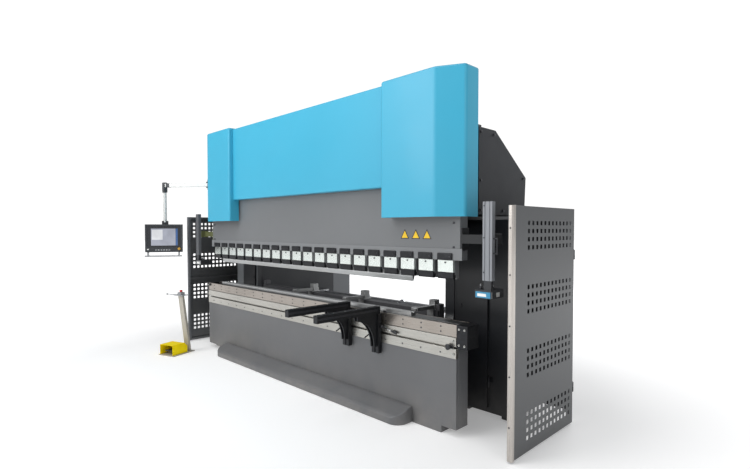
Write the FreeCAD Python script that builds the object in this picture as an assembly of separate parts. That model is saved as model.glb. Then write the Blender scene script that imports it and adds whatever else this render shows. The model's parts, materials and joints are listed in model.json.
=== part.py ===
"""Hydraulic press brake, 4.1 m long: frames, bed, ram, tooling, covers, guards, back gauge, pendant and pedal.

Millimetres, +X to the right of an operator facing the machine, +Y to the rear, +Z up. The origin is on the
floor, in the middle of the bed's bottom face, straight below the bend line.
"""
import math
import os

import FreeCAD
import Part

V = FreeCAD.Vector
SEAT = 0.3              # gap left between a moving piece and what it rides on
RUN = 0.05              # radial clearance of a pin or shaft in its bore

# ---- bed and table -------------------------------------------------------------------------------
BED_LENGTH = 4100.0
BED_FRONT = -60.0       # front face of the bed beam
BED_BACK = 65.0
BED_TOP = 845.0
BED_END_Z = 58.0        # height of the shallow bed ends above the floor
BED_MID_LEFT = -1716.0  # the deep middle part of the bed
BED_MID_RIGHT = 1906.0
BED_STEP_X = 144.0      # intermediate step of the bottom edge on the left
BED_STEP_Z = 47.0
APRON_T = 30.0
TABLE_LIP = 30.0        # the table plates stand this far above the bed beam
TABLE_H = 95.0
TABLE_T = 30.0
TABLE_REAR_T = 20.0
GROOVE = 3.0
RAIL_H = 165.0
RAIL_T = 36.0
SLOT_W = 18.0
SLOT_LIP = 11.0
SLOT_T_W = 34.0
SLOT_T_D = 15.0
SLOT_DROP = 78.0        # slot centre line below the top of the rail
TABLE_SCREW_PITCH = 200.0
TABLE_SCREW_D = 14.0
TABLE_SCREW_H = 2.0
END_BOX_X = 100.0
END_BOX_X_LEFT = 60.0
END_BOX_Y = 150.0
END_BOX_H = 180.0
SKIRT_LEFT = -1560.0
SKIRT_RIGHT = 1606.0
SKIRT_DEPTH = 175.0
SKIRT_FRONT_H = 66.0
SKIRT_BACK_H = 136.0
SKIRT_R = 110.0

# ---- tooling -------------------------------------------------------------------------------------
TOOL_LEFT = -1800.0
TOOL_RIGHT = 1540.0
TOOL_SECTIONS = 4
TOOL_JOINT = 0.6        # gap between two tool sections
DIE_RAIL_W = 100.0
DIE_RAIL_H = 33.0
DIE_W = 60.0
DIE_H = 27.0
DIE_V_W = 22.0
DIE_V_D = 12.0
OPEN_HEIGHT = 263.0     # punch tip to die top with the ram raised
STROKE = 255.0
PUNCH_H = 48.0
PUNCH_W = 26.0
PUNCH_TIP = 1.6
PUNCH_NOSE = 33.0
TANG_W = 14.0
TANG_H = 34.0
ADAPTER_COUNT = 20
ADAPTER_PITCH = 200.0
ADAPTER_W = 154.0
ADAPTER_H = 151.0
ADAPTER_BACK = 45.0
ADAPTER_FRONT = -12.0
TANG_ROOM = 1.0         # gap above the punch tang
WEDGE_T = 23.0
WEDGE_H = 94.0
WEDGE_Z = 2.0
LOWER_CLAMP_H = 51.0
UPPER_CLAMP_H = 54.0
UPPER_CLAMP_T = 12.0
SCREW_D = 14.0
SCREW_H = 5.0

# ---- ram -----------------------------------------------------------------------------------------
RAM_LENGTH = 4080.0
RAM_FRONT = -33.0
RAM_BACK = 67.0
RAM_END_H = 533.0       # height of the low ram ends under the cylinders
RAM_MID_H = 1190.0
RAM_MID_LENGTH = 2660.0
STRIP_T = 5.0
STRIP_H = 92.0
STRIP_OVER = 20.0

# ---- side frames ---------------------------------------------------------------------------------
FRAME_GAP = 3110.0
FRAME_T = 100.0
FRAME_FOOT = 40.0
FRAME_REAR = 1700.0
FRAME_REAR_H = 1500.0
FRAME_TOP_REAR = 850.0
FRAME_SHOULDER_H = 2150.0
FRAME_TOP = 2600.0
ARM_FRONT = 110.0
THROAT_BACK = 425.0
THROAT_LOW = 700.0
THROAT_TOP = 1560.0
THROAT_R = 160.0
PAD_X_IN = 100.0        # pad reach to the inside of the frame
PAD_X_OUT = 45.0
PAD_Y = 190.0
PAD_FRONT_Y = 260.0
PAD_REAR_Y = 1540.0
ANCHOR_D = 26.0
ANCHOR_IN = 55.0        # anchor hole to the inner face of the frame

# ---- hydraulics ----------------------------------------------------------------------------------
CYL_W = 240.0
CYL_Y = 220.0
CYL_BOTTOM = 2010.0
CYL_TOP = 2600.0
BORE_D = 180.0
ROD_D = 100.0
ROD_FLANGE = 24.0        # rod foot wider than the rod
CYL_CAP = 50.0
PISTON_H = 90.0
PISTON_GAP = 30.0       # piston to the end of the bore with the ram raised
GUIDE_W = 130.0
GUIDE_LOW = 1590.0
GUIDE_H = 290.0
VALVE_X = 110.0
VALVE_Y = 150.0
VALVE_H = 200.0
VALVE_Z = 2330.0
TANK_FRONT = 150.0
TANK_DEPTH = 560.0
TANK_LOW = 2090.0
TANK_H = 440.0
TANK_WALL = 8.0
FILLER_D = 60.0
FILLER_H = 70.0
FILLER_X = 620.0
MOTOR_D = 230.0
MOTOR_L = 380.0
MOTOR_FEET = 22.0
PUMP_D = 130.0
PUMP_L = 190.0
PIPE_D = 30.0
PIPE_RISE = 150.0
PIPE_BACK = 420.0

# ---- covers --------------------------------------------------------------------------------------
SHEET = 3.0
COVER_IN = 1315.0
COVER_FLAT = 1890.0
COVER_OUT = 2113.0
COVER_FRONT = -175.0
COVER_SIDE_FRONT = -67.0
COVER_SIDE_BACK = 96.0
COVER_LOW = 1708.0
COVER_TOP = 2863.0
COVER_RAM_GAP = 7.0
PANEL_FRONT = -120.0
PANEL_LOW = 1970.0
PANEL_TOP = 2848.0
PANEL_RETURN = 60.0
BRACKET_W = 60.0
BRACKET_H = 40.0
BRACKET_BACK = 520.0
HOUSING_OUT = 2060.0
HOUSING_FRONT = 190.0
HOUSING_REAR = 952.0
HOUSING_LOW = 1728.0
HOUSING_TOP = 2430.0
HOUSING_KNEE_Y = 435.0
HOUSING_KNEE_Z = 2074.0
CROSS_Y = 90.0
CROSS_H = 180.0

# ---- side cabinets -------------------------------------------------------------------------------
CAB_OUT = 2220.0
CAB_FRONT = 432.0
CAB_REAR = 960.0
CAB_LOW = 50.0
CAB_TOP = 1690.0
CAB_FOOT = 90.0
DOOR_IN = 1702.0
DOOR_AXIS_X = 2020.0
DOOR_SIDE_GAP = 6.0
DOOR_T = 20.0
DOOR_LOW = 90.0
DOOR_TOP = 1650.0
DOOR_FACE_GAP = 2.0
DOOR_FRAME = 26.0       # cabinet rim behind the door edge
HINGE_D = 14.0
HINGE_H = 90.0
LATCH_D = 32.0
LATCH_OUT = 7.0
LATCH_IN = 34.0         # latch centre to the free edge of the door
LATCH_Z = 940.0
REAR_CAB_W = 600.0
REAR_CAB_D = 340.0
REAR_CAB_LOW = 60.0
REAR_CAB_H = 1840.0
SHELF_COUNT = 3
MODULE_ROWS = 4

# ---- side guards ---------------------------------------------------------------------------------
GUARD_X = 2545.0
GUARD_FRONT = -168.0
GUARD_REAR = 826.0
GUARD_LOW = 12.0
GUARD_TOP = 1775.0
GUARD_TUBE = 30.0
GUARD_POST_W = 44.0
GUARD_SHEET = 3.0
HOLE_SIDE = 31.0
HOLE_PITCH_Y = 62.5
HOLE_PITCH_Z = 58.0
HOLE_COLS = 12
HOLE_ROWS = 4
HOLE_GROUPS = 4
HOLE_FIRST_Y = 66.0
HOLE_TOP_Z = 1656.0
HOLE_GROUP_PITCH = 456.0
LEFT_HOLE_FIRST_Y = -64.0   # the left sheet has its own hole grid
LEFT_HOLE_PITCH_Y = 58.0
LEFT_HOLE_TOP_Z = 1676.0
LEFT_GROUP_PITCH = 441.0
GUARD_AXIS_Y = 850.0
GPOST_W = 50.0
GPOST_T = 22.0
GPOST_GAP = 23.0        # guard hinge line outside the fixed post
GARM_W = 40.0
FILL_BACK = 10.0        # filler sheet between cabinet and guard post, behind the hinge line
GPOST_LOW = 90.0
GPOST_TOP = 1680.0
KNUCKLE_D = 26.0
KNUCKLE_H = 40.0
PIN_D = 12.0
HINGE_LOW_Z = 300.0
HINGE_HIGH_Z = 1400.0

# ---- beam sensors on the ram ends ----------------------------------------------------------------
COL_X = 2335.0
COL_W = 78.0
COL_D = 40.0
COL_FRONT = -120.0
COL_LOW = 1240.0
COL_TOP = 1809.0
UNIT_X = 2301.0
UNIT_W = 136.0
UNIT_D = 170.0
UNIT_LOW = 1110.0
UNIT_H = 62.0
NECK_W = 60.0
CHANDLE_Z = 1490.0
CHANDLE_L = 122.0
CHANDLE_D = 12.0
CHANDLE_OUT = 30.0
MOUNT_LOW = 1500.0
MOUNT_H = 70.0

# ---- back gauge ----------------------------------------------------------------------------------
GRAIL_FRONT = 330.0
GRAIL_REAR = 1560.0
GRAIL_W = 60.0
GRAIL_TOP = 690.0
GRAIL_H = 80.0
CARR_Y = 460.0
CARR_L = 200.0
CARR_H = 70.0
LIFT_W = 50.0
LIFT_D = 70.0
LIFT_TOP = 915.0
BEAM_D = 100.0
BEAM_H = 90.0
BEAM_LOW = 765.0
GSCREW_D = 32.0
GSCREW_Z = 640.0
NUT_D = 70.0
NUT_L = 90.0
NUT_BACK = 40.0         # nut centre behind the carriage centre
FINGER_X = (-430.0, 460.0, 1402.0)
FINGER_FRONT = 160.0
FINGER_W = 76.0
FINGER_BAR_W = 50.0
FINGER_BAR_H = 34.0
FINGER_NOSE_L = 60.0
FINGER_NOSE_H = 26.0
FINGER_HEAD_L = 70.0
FINGER_HEAD_H = 82.0
FINGER_SADDLE = 12.0

# ---- sheet supports ------------------------------------------------------------------------------
SUPPORT_X = (825.0, 1215.0)
SUPPORT_W = 50.0
SUPPORT_FRONT = -800.0
SUPPORT_LOW = 868.0
SUPPORT_H = 62.0
SUPPORT_PLATE_T = 40.0
SUPPORT_BAR_W = 36.0
SUPPORT_BAR_GAP = 12.0
SUPPORT_TIE_H = 46.0
SUPPORT_PLATE_LOW = 520.0
SUPPORT_GUSSET = 230.0
SUPPORT_GUSSET_T = 12.0
SUPPORT_GUSSET_ARC = 9     # steps along the gusset's hollow edge
LEVER_L = 90.0
LEVER_D = 12.0

# ---- pendant -------------------------------------------------------------------------------------
PIVOT_OUT = 42.0        # pendant pivot outside the cover's side face
PIVOT_Y = -38.0
ARM_Z = 2215.0
ARM_ANGLE = 216.0       # direction of the arm in plan, from +X
ARM_L = 655.0
ARM_H = 50.0
ARM_W = 56.0
PIVOT_D = 60.0
LUG_T = 16.0
LUG_GAP = 0.5
DROP_D = 48.0
DROP_LOW = 1700.0
PANEL_YAW = 60.0
PCASE_W = 476.0
PCASE_H = 384.0
PCASE_D = 90.0
PCASE_LOW = 1286.0
PCASE_BACK = 55.0       # back of the case in front of the drop tube's axis
PSWIVEL_W = 80.0
PKNOB_D = 34.0
PKNOB_H = 18.0
PKNOB_X = 200.0
PKNOB_Z = 46.0
PBAR_D = 22.0
PBAR_DROP = 62.0
PBAR_OUT = 30.0

# ---- pedal station -------------------------------------------------------------------------------
STATION_X = -2040.0
STATION_Y = -480.0
STATION_YAW = 20.0
BASE_W = 260.0
BASE_FRONT = -255.0
BASE_REAR = 95.0
BASE_T = 10.0
HOOD_W = 220.0
HOOD_FRONT = -250.0
HOOD_REAR = -10.0
HOOD_H = 138.0
HOOD_T = 4.0
HOOD_SLOPE = 45.0
TREADLE_W = 120.0
TREADLE_FRONT = -215.0
TREADLE_AXIS_Y = -50.0
TREADLE_AXIS_Z = 46.0
TREADLE_T = 14.0
TREADLE_PIN_D = 12.0
POST_X = 62.0
POST_Y = 50.0
POST_LEAN = 110.0
POST_W = 74.0
POST_D = 34.0
POST_H = 750.0
TRAY_W = 150.0
TRAY_D = 110.0
TRAY_T = 8.0
STOP_BOX = 64.0
STOP_BOX_H = 34.0
STOP_D = 38.0
STOP_H = 22.0
STOP_GAP = 6.0
BAR_L = 170.0
BAR_D = 12.0

# ---- derived levels ------------------------------------------------------------------------------
HALF_BED = BED_LENGTH / 2.0
DIE_TOP = BED_TOP + DIE_RAIL_H + DIE_H
TIP_Z = DIE_TOP + OPEN_HEIGHT
ADAPTER_LOW = TIP_Z + PUNCH_H
RAM_LOW = ADAPTER_LOW + ADAPTER_H
TABLE_TOP = BED_TOP + TABLE_LIP
TABLE_LOW = TABLE_TOP - TABLE_H
RAIL_TOP = TABLE_LOW - GROOVE
RAIL_LOW = RAIL_TOP - RAIL_H
SLOT_Z = RAIL_TOP - SLOT_DROP
APRON_FRONT = BED_FRONT - APRON_T
RAIL_FRONT = BED_FRONT - RAIL_T
FRAME_IN = FRAME_GAP / 2.0
FRAME_OUT = FRAME_IN + FRAME_T
CYL_X = FRAME_IN + FRAME_T / 2.0
CYL_CENTRE_Y = ARM_FRONT - CYL_Y / 2.0


# ---- shape helpers -------------------------------------------------------------------------------
def box(x0, x1, y0, y1, z0, z1):
    """Box between two corners."""
    return Part.makeBox(x1 - x0, y1 - y0, z1 - z0, V(x0, y0, z0))


def cyl(x, y, z, d, length, axis=(0, 0, 1)):
    """Cylinder of diameter d starting at a point and running along an axis."""
    return Part.makeCylinder(d / 2.0, length, V(x, y, z), V(*axis))


def wire_face(points):
    """Face of a closed polygon."""
    pts = [V(*p) for p in points]
    return Part.Face(Part.makePolygon(pts + [pts[0]]))


def prism_x(points, x0, x1):
    """Polygon of (y, z) points extruded along X."""
    return wire_face([(x0, y, z) for y, z in points]).extrude(V(x1 - x0, 0, 0))


def prism_y(points, y0, y1):
    """Polygon of (x, z) points extruded along Y."""
    return wire_face([(x, y0, z) for x, z in points]).extrude(V(0, y1 - y0, 0))


def prism_z(points, z0, z1):
    """Polygon of (x, y) points extruded along Z."""
    return wire_face([(x, y, z0) for x, y in points]).extrude(V(0, 0, z1 - z0))


def fuse(shapes):
    """One clean solid out of several that touch."""
    whole = shapes[0]
    if len(shapes) > 1:
        whole = whole.multiFuse(shapes[1:])
    return whole.removeSplitter()


def group(shapes):
    """Several solids kept apart in one piece kind."""
    solids = []
    for shape in shapes:
        solids.extend(shape.Solids)
    return Part.makeCompound(solids)


def mirror(shape):
    """The same shape on the other side of the machine."""
    return shape.mirror(V(0, 0, 0), V(1, 0, 0))


def vertical_edges(shape, picks):
    """Edges running along Z at the (x, y) places given."""
    found = []
    for edge in shape.Edges:
        a = edge.Vertexes[0].Point
        b = edge.Vertexes[-1].Point
        if abs(a.x - b.x) > 0.01 or abs(a.y - b.y) > 0.01:
            continue
        for x, y in picks:
            if abs(a.x - x) < 0.5 and abs(a.y - y) < 0.5:
                found.append(edge)
    return found


def wall(points, thick, z0, z1):
    """Bent sheet wall that follows an open line in plan, its thickness on the left of the line."""
    offs = []
    count = len(points)
    for i in range(count):
        norms = []
        for j in (i - 1, i):
            if 0 <= j < count - 1:
                dx = points[j + 1][0] - points[j][0]
                dy = points[j + 1][1] - points[j][1]
                size = math.hypot(dx, dy)
                norms.append((-dy / size, dx / size))
        nx = sum(n[0] for n in norms) / len(norms)
        ny = sum(n[1] for n in norms) / len(norms)
        scale = thick / (nx * norms[0][0] + ny * norms[0][1])
        offs.append((points[i][0] + nx * scale, points[i][1] + ny * scale))
    return prism_z(list(points) + offs[::-1], z0, z1)


def turned(shape, angle, x, y, z=0.0):
    """Shape turned about the vertical through the origin and then moved."""
    out = shape.copy()
    out.rotate(V(0, 0, 0), V(0, 0, 1), angle)
    out.translate(V(x, y, z))
    return out


def plan_round(x0, x1, y0, y1, z0, z1, radius):
    """Box with its vertical edges rounded."""
    body = box(x0, x1, y0, y1, z0, z1)
    picks = [(x0, y0), (x1, y0), (x0, y1), (x1, y1)]
    return body.makeFillet(radius, vertical_edges(body, picks))


def save(name, shape):
    """Write one piece kind as a STEP file."""
    shape.exportStep("parts/" + name + ".step")
    print(name, len(shape.Solids), round(shape.Volume / 1000.0, 1))


# ---- bed -----------------------------------------------------------------------------------------
def bed_outline(top):
    """Front outline of the bed with its deep middle part."""
    return [
        (-HALF_BED, top),
        (-HALF_BED, BED_END_Z),
        (BED_MID_LEFT - BED_STEP_X, BED_END_Z),
        (BED_MID_LEFT - BED_STEP_X, BED_STEP_Z),
        (BED_MID_LEFT, BED_STEP_Z),
        (BED_MID_LEFT, 0.0),
        (BED_MID_RIGHT, 0.0),
        (BED_MID_RIGHT, BED_END_Z),
        (HALF_BED, BED_END_Z),
        (HALF_BED, top),
    ]


def make_bed():
    """Bed beam, apron, skirting, table plates, rail, end boxes and screws."""
    save("bed_beam", prism_y(bed_outline(BED_TOP), BED_FRONT, BED_BACK))
    save("bed_apron", prism_y(bed_outline(RAIL_LOW), APRON_FRONT, BED_FRONT))
    front = box(-HALF_BED, HALF_BED, BED_FRONT - TABLE_T, BED_FRONT, TABLE_LOW, TABLE_TOP)
    rear = box(-HALF_BED, HALF_BED, BED_BACK, BED_BACK + TABLE_REAR_T, TABLE_LOW, TABLE_TOP)
    save("table_plates", group([front, rear]))

    rail = box(-HALF_BED, HALF_BED, RAIL_FRONT, BED_FRONT, RAIL_LOW, RAIL_TOP)
    slot = box(-HALF_BED - 1, HALF_BED + 1, RAIL_FRONT - 1, RAIL_FRONT + SLOT_LIP + 1,
               SLOT_Z - SLOT_W / 2, SLOT_Z + SLOT_W / 2)
    tee = box(-HALF_BED - 1, HALF_BED + 1, RAIL_FRONT + SLOT_LIP, RAIL_FRONT + SLOT_LIP + SLOT_T_D,
              SLOT_Z - SLOT_T_W / 2, SLOT_Z + SLOT_T_W / 2)
    save("support_rail", rail.cut(slot).cut(tee))

    screws = []
    count = int(BED_LENGTH / TABLE_SCREW_PITCH)
    for i in range(count):
        x = (i - (count - 1) / 2.0) * TABLE_SCREW_PITCH
        for z in (TABLE_LOW + TABLE_H * 0.3, TABLE_LOW + TABLE_H * 0.72):
            screws.append(cyl(x, BED_FRONT - TABLE_T, z, TABLE_SCREW_D, TABLE_SCREW_H, (0, -1, 0)))
        z = RAIL_LOW + RAIL_H * 0.2
        screws.append(cyl(x, RAIL_FRONT, z, TABLE_SCREW_D, TABLE_SCREW_H, (0, -1, 0)))
    save("table_screws", group(screws))

    ends = []
    y0 = BED_FRONT - TABLE_T
    for side, size in ((1.0, END_BOX_X), (-1.0, END_BOX_X_LEFT)):
        x0 = min(side * HALF_BED, side * (HALF_BED + size))
        body = box(x0, x0 + size, y0, y0 + END_BOX_Y, TABLE_TOP - END_BOX_H, TABLE_TOP)
        ends.append(body)
    save("rail_ends", group(ends))

    profile = [
        (APRON_FRONT, 0.0),
        (APRON_FRONT, SKIRT_BACK_H),
        (APRON_FRONT - SKIRT_DEPTH * 0.3, SKIRT_BACK_H * 0.93),
        (APRON_FRONT - SKIRT_DEPTH + 22.0, SKIRT_FRONT_H + 12.0),
        (APRON_FRONT - SKIRT_DEPTH, SKIRT_FRONT_H - 8.0),
        (APRON_FRONT - SKIRT_DEPTH, 0.0),
    ]
    body = prism_x(profile, SKIRT_LEFT, SKIRT_RIGHT)
    front_y = APRON_FRONT - SKIRT_DEPTH
    plan = box(SKIRT_LEFT, SKIRT_RIGHT, front_y, APRON_FRONT, -1.0, SKIRT_BACK_H + 10.0)
    plan = plan.makeFillet(SKIRT_R, vertical_edges(plan, [(SKIRT_LEFT, front_y), (SKIRT_RIGHT, front_y)]))
    save("foot_skirt", body.common(plan))


def make_tools():
    """Die rail, V die, and punches in sections."""
    length = TOOL_RIGHT - TOOL_LEFT
    part_length = length / TOOL_SECTIONS
    y0 = -DIE_RAIL_W / 2
    save("die_rail", box(TOOL_LEFT, HALF_BED, y0, -y0, BED_TOP, BED_TOP + DIE_RAIL_H))
    low = BED_TOP + DIE_RAIL_H
    half = DIE_W / 2
    die = [
        (-half, low),
        (half, low),
        (half, DIE_TOP),
        (DIE_V_W / 2, DIE_TOP),
        (0.0, DIE_TOP - DIE_V_D),
        (-DIE_V_W / 2, DIE_TOP),
        (-half, DIE_TOP),
    ]
    hp = PUNCH_W / 2
    ht = TANG_W / 2
    punch = [
        (-ht, ADAPTER_LOW + TANG_H),
        (-ht, ADAPTER_LOW),
        (-hp, ADAPTER_LOW),
        (-hp, TIP_Z + PUNCH_NOSE),
        (-PUNCH_TIP / 2, TIP_Z),
        (PUNCH_TIP / 2, TIP_Z),
        (hp, TIP_Z + PUNCH_NOSE),
        (hp, ADAPTER_LOW),
        (ht, ADAPTER_LOW),
        (ht, ADAPTER_LOW + TANG_H),
    ]
    dies = []
    punches = []
    for i in range(TOOL_SECTIONS):
        x0 = TOOL_LEFT + i * part_length + TOOL_JOINT / 2
        x1 = TOOL_LEFT + (i + 1) * part_length - TOOL_JOINT / 2
        dies.append(prism_x(die, x0, x1))
        punches.append(prism_x(punch, x0, x1))
    save("v_die", group(dies))
    save("punches", group(punches))


def make_ram():
    """Ram plate, machined strip, adapters, clamps, screws, piston rods and sensor mounts."""
    half = RAM_LENGTH / 2
    mid = RAM_MID_LENGTH / 2
    outline = [
        (-half, RAM_LOW),
        (half, RAM_LOW),
        (half, RAM_LOW + RAM_END_H),
        (mid, RAM_LOW + RAM_END_H),
        (mid, RAM_LOW + RAM_MID_H),
        (-mid, RAM_LOW + RAM_MID_H),
        (-mid, RAM_LOW + RAM_END_H),
        (-half, RAM_LOW + RAM_END_H),
    ]
    save("ram_plate", prism_y(outline, RAM_FRONT, RAM_BACK))
    strip_front = RAM_FRONT - STRIP_T
    over = half + STRIP_OVER
    save("ram_strip", box(-over, over, strip_front, RAM_FRONT, RAM_LOW, RAM_LOW + STRIP_H))

    bodies = []
    uppers = []
    wedges = []
    lowers = []
    screws = []
    ht = TANG_W / 2
    wedge_low = RAM_LOW - WEDGE_Z - WEDGE_H
    for i in range(ADAPTER_COUNT):
        x = (i - (ADAPTER_COUNT - 1) / 2.0) * ADAPTER_PITCH
        x0 = x - ADAPTER_W / 2
        x1 = x + ADAPTER_W / 2
        section = [
            (ht, ADAPTER_LOW),
            (ADAPTER_BACK, ADAPTER_LOW),
            (ADAPTER_BACK, RAM_LOW),
            (ADAPTER_FRONT, RAM_LOW),
            (ADAPTER_FRONT, ADAPTER_LOW + TANG_H + TANG_ROOM),
            (ht, ADAPTER_LOW + TANG_H + TANG_ROOM),
        ]
        bodies.append(prism_x(section, x0, x1))
        wedge_front = ADAPTER_FRONT - WEDGE_T
        wedges.append(box(x0 + 2, x1 - 2, wedge_front, ADAPTER_FRONT, wedge_low, wedge_low + WEDGE_H))
        clamp_top = min(wedge_low - 0.5, ADAPTER_LOW + LOWER_CLAMP_H)
        lower = [
            (-ht, ADAPTER_LOW),
            (-ht, ADAPTER_LOW + TANG_H + TANG_ROOM),
            (ADAPTER_FRONT, ADAPTER_LOW + TANG_H + TANG_ROOM),
            (ADAPTER_FRONT, clamp_top),
            (wedge_front, clamp_top),
            (wedge_front, ADAPTER_LOW + 8.0),
            (wedge_front + 8.0, ADAPTER_LOW),
        ]
        lowers.append(prism_x(lower, x0, x1))
        upper = [
            (strip_front, RAM_LOW + 1.0),
            (strip_front, RAM_LOW + 1.0 + UPPER_CLAMP_H),
            (strip_front - UPPER_CLAMP_T + 4.0, RAM_LOW + 1.0 + UPPER_CLAMP_H),
            (strip_front - UPPER_CLAMP_T, RAM_LOW + 1.0 + UPPER_CLAMP_H - 10.0),
            (strip_front - UPPER_CLAMP_T, RAM_LOW + 1.0),
        ]
        uppers.append(prism_x(upper, x0 + 6, x1 - 6))
        z = RAM_LOW + UPPER_CLAMP_H * 0.5
        screws.append(cyl(x1 - 24.0, strip_front - UPPER_CLAMP_T, z, SCREW_D, SCREW_H, (0, -1, 0)))
        z = wedge_low + WEDGE_H - 18.0
        screws.append(cyl(x, wedge_front, z, SCREW_D, SCREW_H, (0, -1, 0)))
    save("adapter_bodies", group(bodies))
    save("upper_clamps", group(uppers))
    save("wedge_plates", group(wedges))
    save("lower_clamps", group(lowers))
    save("clamp_screws", group(screws))

    rods = []
    mounts = []
    rod_low = RAM_LOW + RAM_END_H
    piston_top = CYL_TOP - CYL_CAP - PISTON_GAP
    rod = cyl(CYL_X, CYL_CENTRE_Y, rod_low, ROD_D, piston_top - PISTON_H - rod_low)
    flange = cyl(CYL_X, CYL_CENTRE_Y, rod_low, ROD_D + ROD_FLANGE, 24.0)
    piston = cyl(CYL_X, CYL_CENTRE_Y, piston_top - PISTON_H, BORE_D - 2 * RUN, PISTON_H)
    rods.append(fuse([flange, rod, piston]))
    rods.append(mirror(rods[0]))
    save("piston_rods", group(rods))

    col_back = COL_FRONT + COL_D
    beam = box(half, COL_X, RAM_FRONT + 3.0, RAM_FRONT + 53.0, MOUNT_LOW, MOUNT_LOW + MOUNT_H)
    clamp = box(COL_X - COL_W / 2 - 8, COL_X + COL_W / 2, col_back + SEAT, RAM_FRONT + 53.0,
                MOUNT_LOW - 8.0, MOUNT_LOW + MOUNT_H + 8.0)
    plate = box(half, half + 16.0, RAM_FRONT + 3.0, RAM_BACK - 2.0, MOUNT_LOW - 50.0, MOUNT_LOW + MOUNT_H + 50.0)
    mounts.append(fuse([beam, clamp, plate]))
    mounts.append(mirror(mounts[0]))
    save("sensor_mounts", group(mounts))


def make_frames():
    """C-shaped side frames, pads, cylinders and guides."""
    r = THROAT_R
    outline = [
        (BED_BACK, FRAME_FOOT),
        (FRAME_REAR, FRAME_FOOT),
        (FRAME_REAR, FRAME_REAR_H),
        (FRAME_TOP_REAR, FRAME_SHOULDER_H),
        (FRAME_TOP_REAR, FRAME_TOP),
        (ARM_FRONT, FRAME_TOP),
        (ARM_FRONT, THROAT_TOP),
        (THROAT_BACK, THROAT_TOP),
        (THROAT_BACK, THROAT_LOW),
        (BED_BACK, THROAT_LOW),
    ]
    plate = prism_x(outline, FRAME_IN, FRAME_OUT)
    corners = []
    for edge in plate.Edges:
        a = edge.Vertexes[0].Point
        b = edge.Vertexes[-1].Point
        if abs(a.y - b.y) > 0.01 or abs(a.z - b.z) > 0.01:
            continue
        if abs(a.y - THROAT_BACK) < 0.5 and (abs(a.z - THROAT_TOP) < 0.5 or abs(a.z - THROAT_LOW) < 0.5):
            corners.append(edge)
    plate = plate.makeFillet(r, corners)
    save("frame_right", plate)
    save("frame_left", mirror(plate))

    pads = []
    for side in (1.0, -1.0):
        for y in (PAD_FRONT_Y, PAD_REAR_Y):
            x_in = FRAME_IN - PAD_X_IN
            x_out = FRAME_OUT + PAD_X_OUT
            pad = box(x_in, x_out, y - PAD_Y / 2, y + PAD_Y / 2, 0.0, FRAME_FOOT)
            pad = pad.cut(cyl(FRAME_IN - ANCHOR_IN, y, -1.0, ANCHOR_D, FRAME_FOOT + 2.0))
            pads.append(pad if side > 0 else mirror(pad))
    save("levelling_pads", group(pads))

    block = box(CYL_X - CYL_W / 2, CYL_X + CYL_W / 2, ARM_FRONT - CYL_Y, ARM_FRONT, CYL_BOTTOM, CYL_TOP)
    block = block.cut(cyl(CYL_X, CYL_CENTRE_Y, CYL_BOTTOM - 1.0, ROD_D + 2 * RUN, CYL_CAP + 2.0))
    bore = cyl(CYL_X, CYL_CENTRE_Y, CYL_BOTTOM + CYL_CAP, BORE_D, CYL_TOP - CYL_BOTTOM - 2 * CYL_CAP)
    block = block.cut(bore)
    save("cylinder_blocks", group([block, mirror(block)]))

    guide = box(CYL_X - GUIDE_W / 2, CYL_X + GUIDE_W / 2, RAM_BACK + SEAT, ARM_FRONT, GUIDE_LOW, GUIDE_LOW + GUIDE_H)
    save("ram_guides", group([guide, mirror(guide)]))


def make_hydraulics():
    """Tank, motor with pump and valve blocks, and oil pipes."""
    tank_back = TANK_FRONT + TANK_DEPTH
    tank_top = TANK_LOW + TANK_H
    y = (TANK_FRONT + tank_back) / 2
    w = TANK_WALL
    tank = box(-FRAME_IN, FRAME_IN, TANK_FRONT, tank_back, TANK_LOW, tank_top)
    room = box(-FRAME_IN + w, FRAME_IN - w, TANK_FRONT + w, tank_back - w, TANK_LOW + w, tank_top - w)
    neck = cyl(-FILLER_X, y, tank_top - w - 1.0, FILLER_D * 0.7, w + 2.0)
    save("oil_tank", tank.cut(room).cut(neck))
    filler = cyl(-FILLER_X, y, tank_top, FILLER_D, FILLER_H)
    zc = tank_top + MOTOR_FEET + MOTOR_D / 2
    motor = cyl(-MOTOR_L / 2, y, zc, MOTOR_D, MOTOR_L, (1, 0, 0))
    feet = box(-MOTOR_L / 2 + 30, MOTOR_L / 2 - 30, y - MOTOR_D * 0.4, y + MOTOR_D * 0.4, tank_top, zc - MOTOR_D * 0.3)
    pump = cyl(MOTOR_L / 2, y, zc, PUMP_D, PUMP_L, (1, 0, 0))
    unit = fuse([motor, feet, pump])
    x1 = CYL_X - CYL_W / 2
    yc = CYL_CENTRE_Y
    valve = box(x1 - VALVE_X, x1, yc - VALVE_Y / 2, yc + VALVE_Y / 2, VALVE_Z, VALVE_Z + VALVE_H)
    save("power_unit", group([unit, valve, mirror(valve), filler]))
    px = x1 - VALVE_X / 2
    z0 = VALVE_Z + VALVE_H
    z1 = max(z0, tank_top) + PIPE_RISE
    up = cyl(px, yc, z0, PIPE_D, z1 - z0)
    over = cyl(px, yc, z1, PIPE_D, PIPE_BACK - yc, (0, 1, 0))
    down = cyl(px, PIPE_BACK, tank_top, PIPE_D, z1 - tank_top)
    ball_a = Part.makeSphere(PIPE_D / 2, V(px, yc, z1))
    ball_b = Part.makeSphere(PIPE_D / 2, V(px, PIPE_BACK, z1))
    pipe = fuse([up, over, down, ball_a, ball_b])
    save("oil_pipes", group([pipe, mirror(pipe)]))


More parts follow.
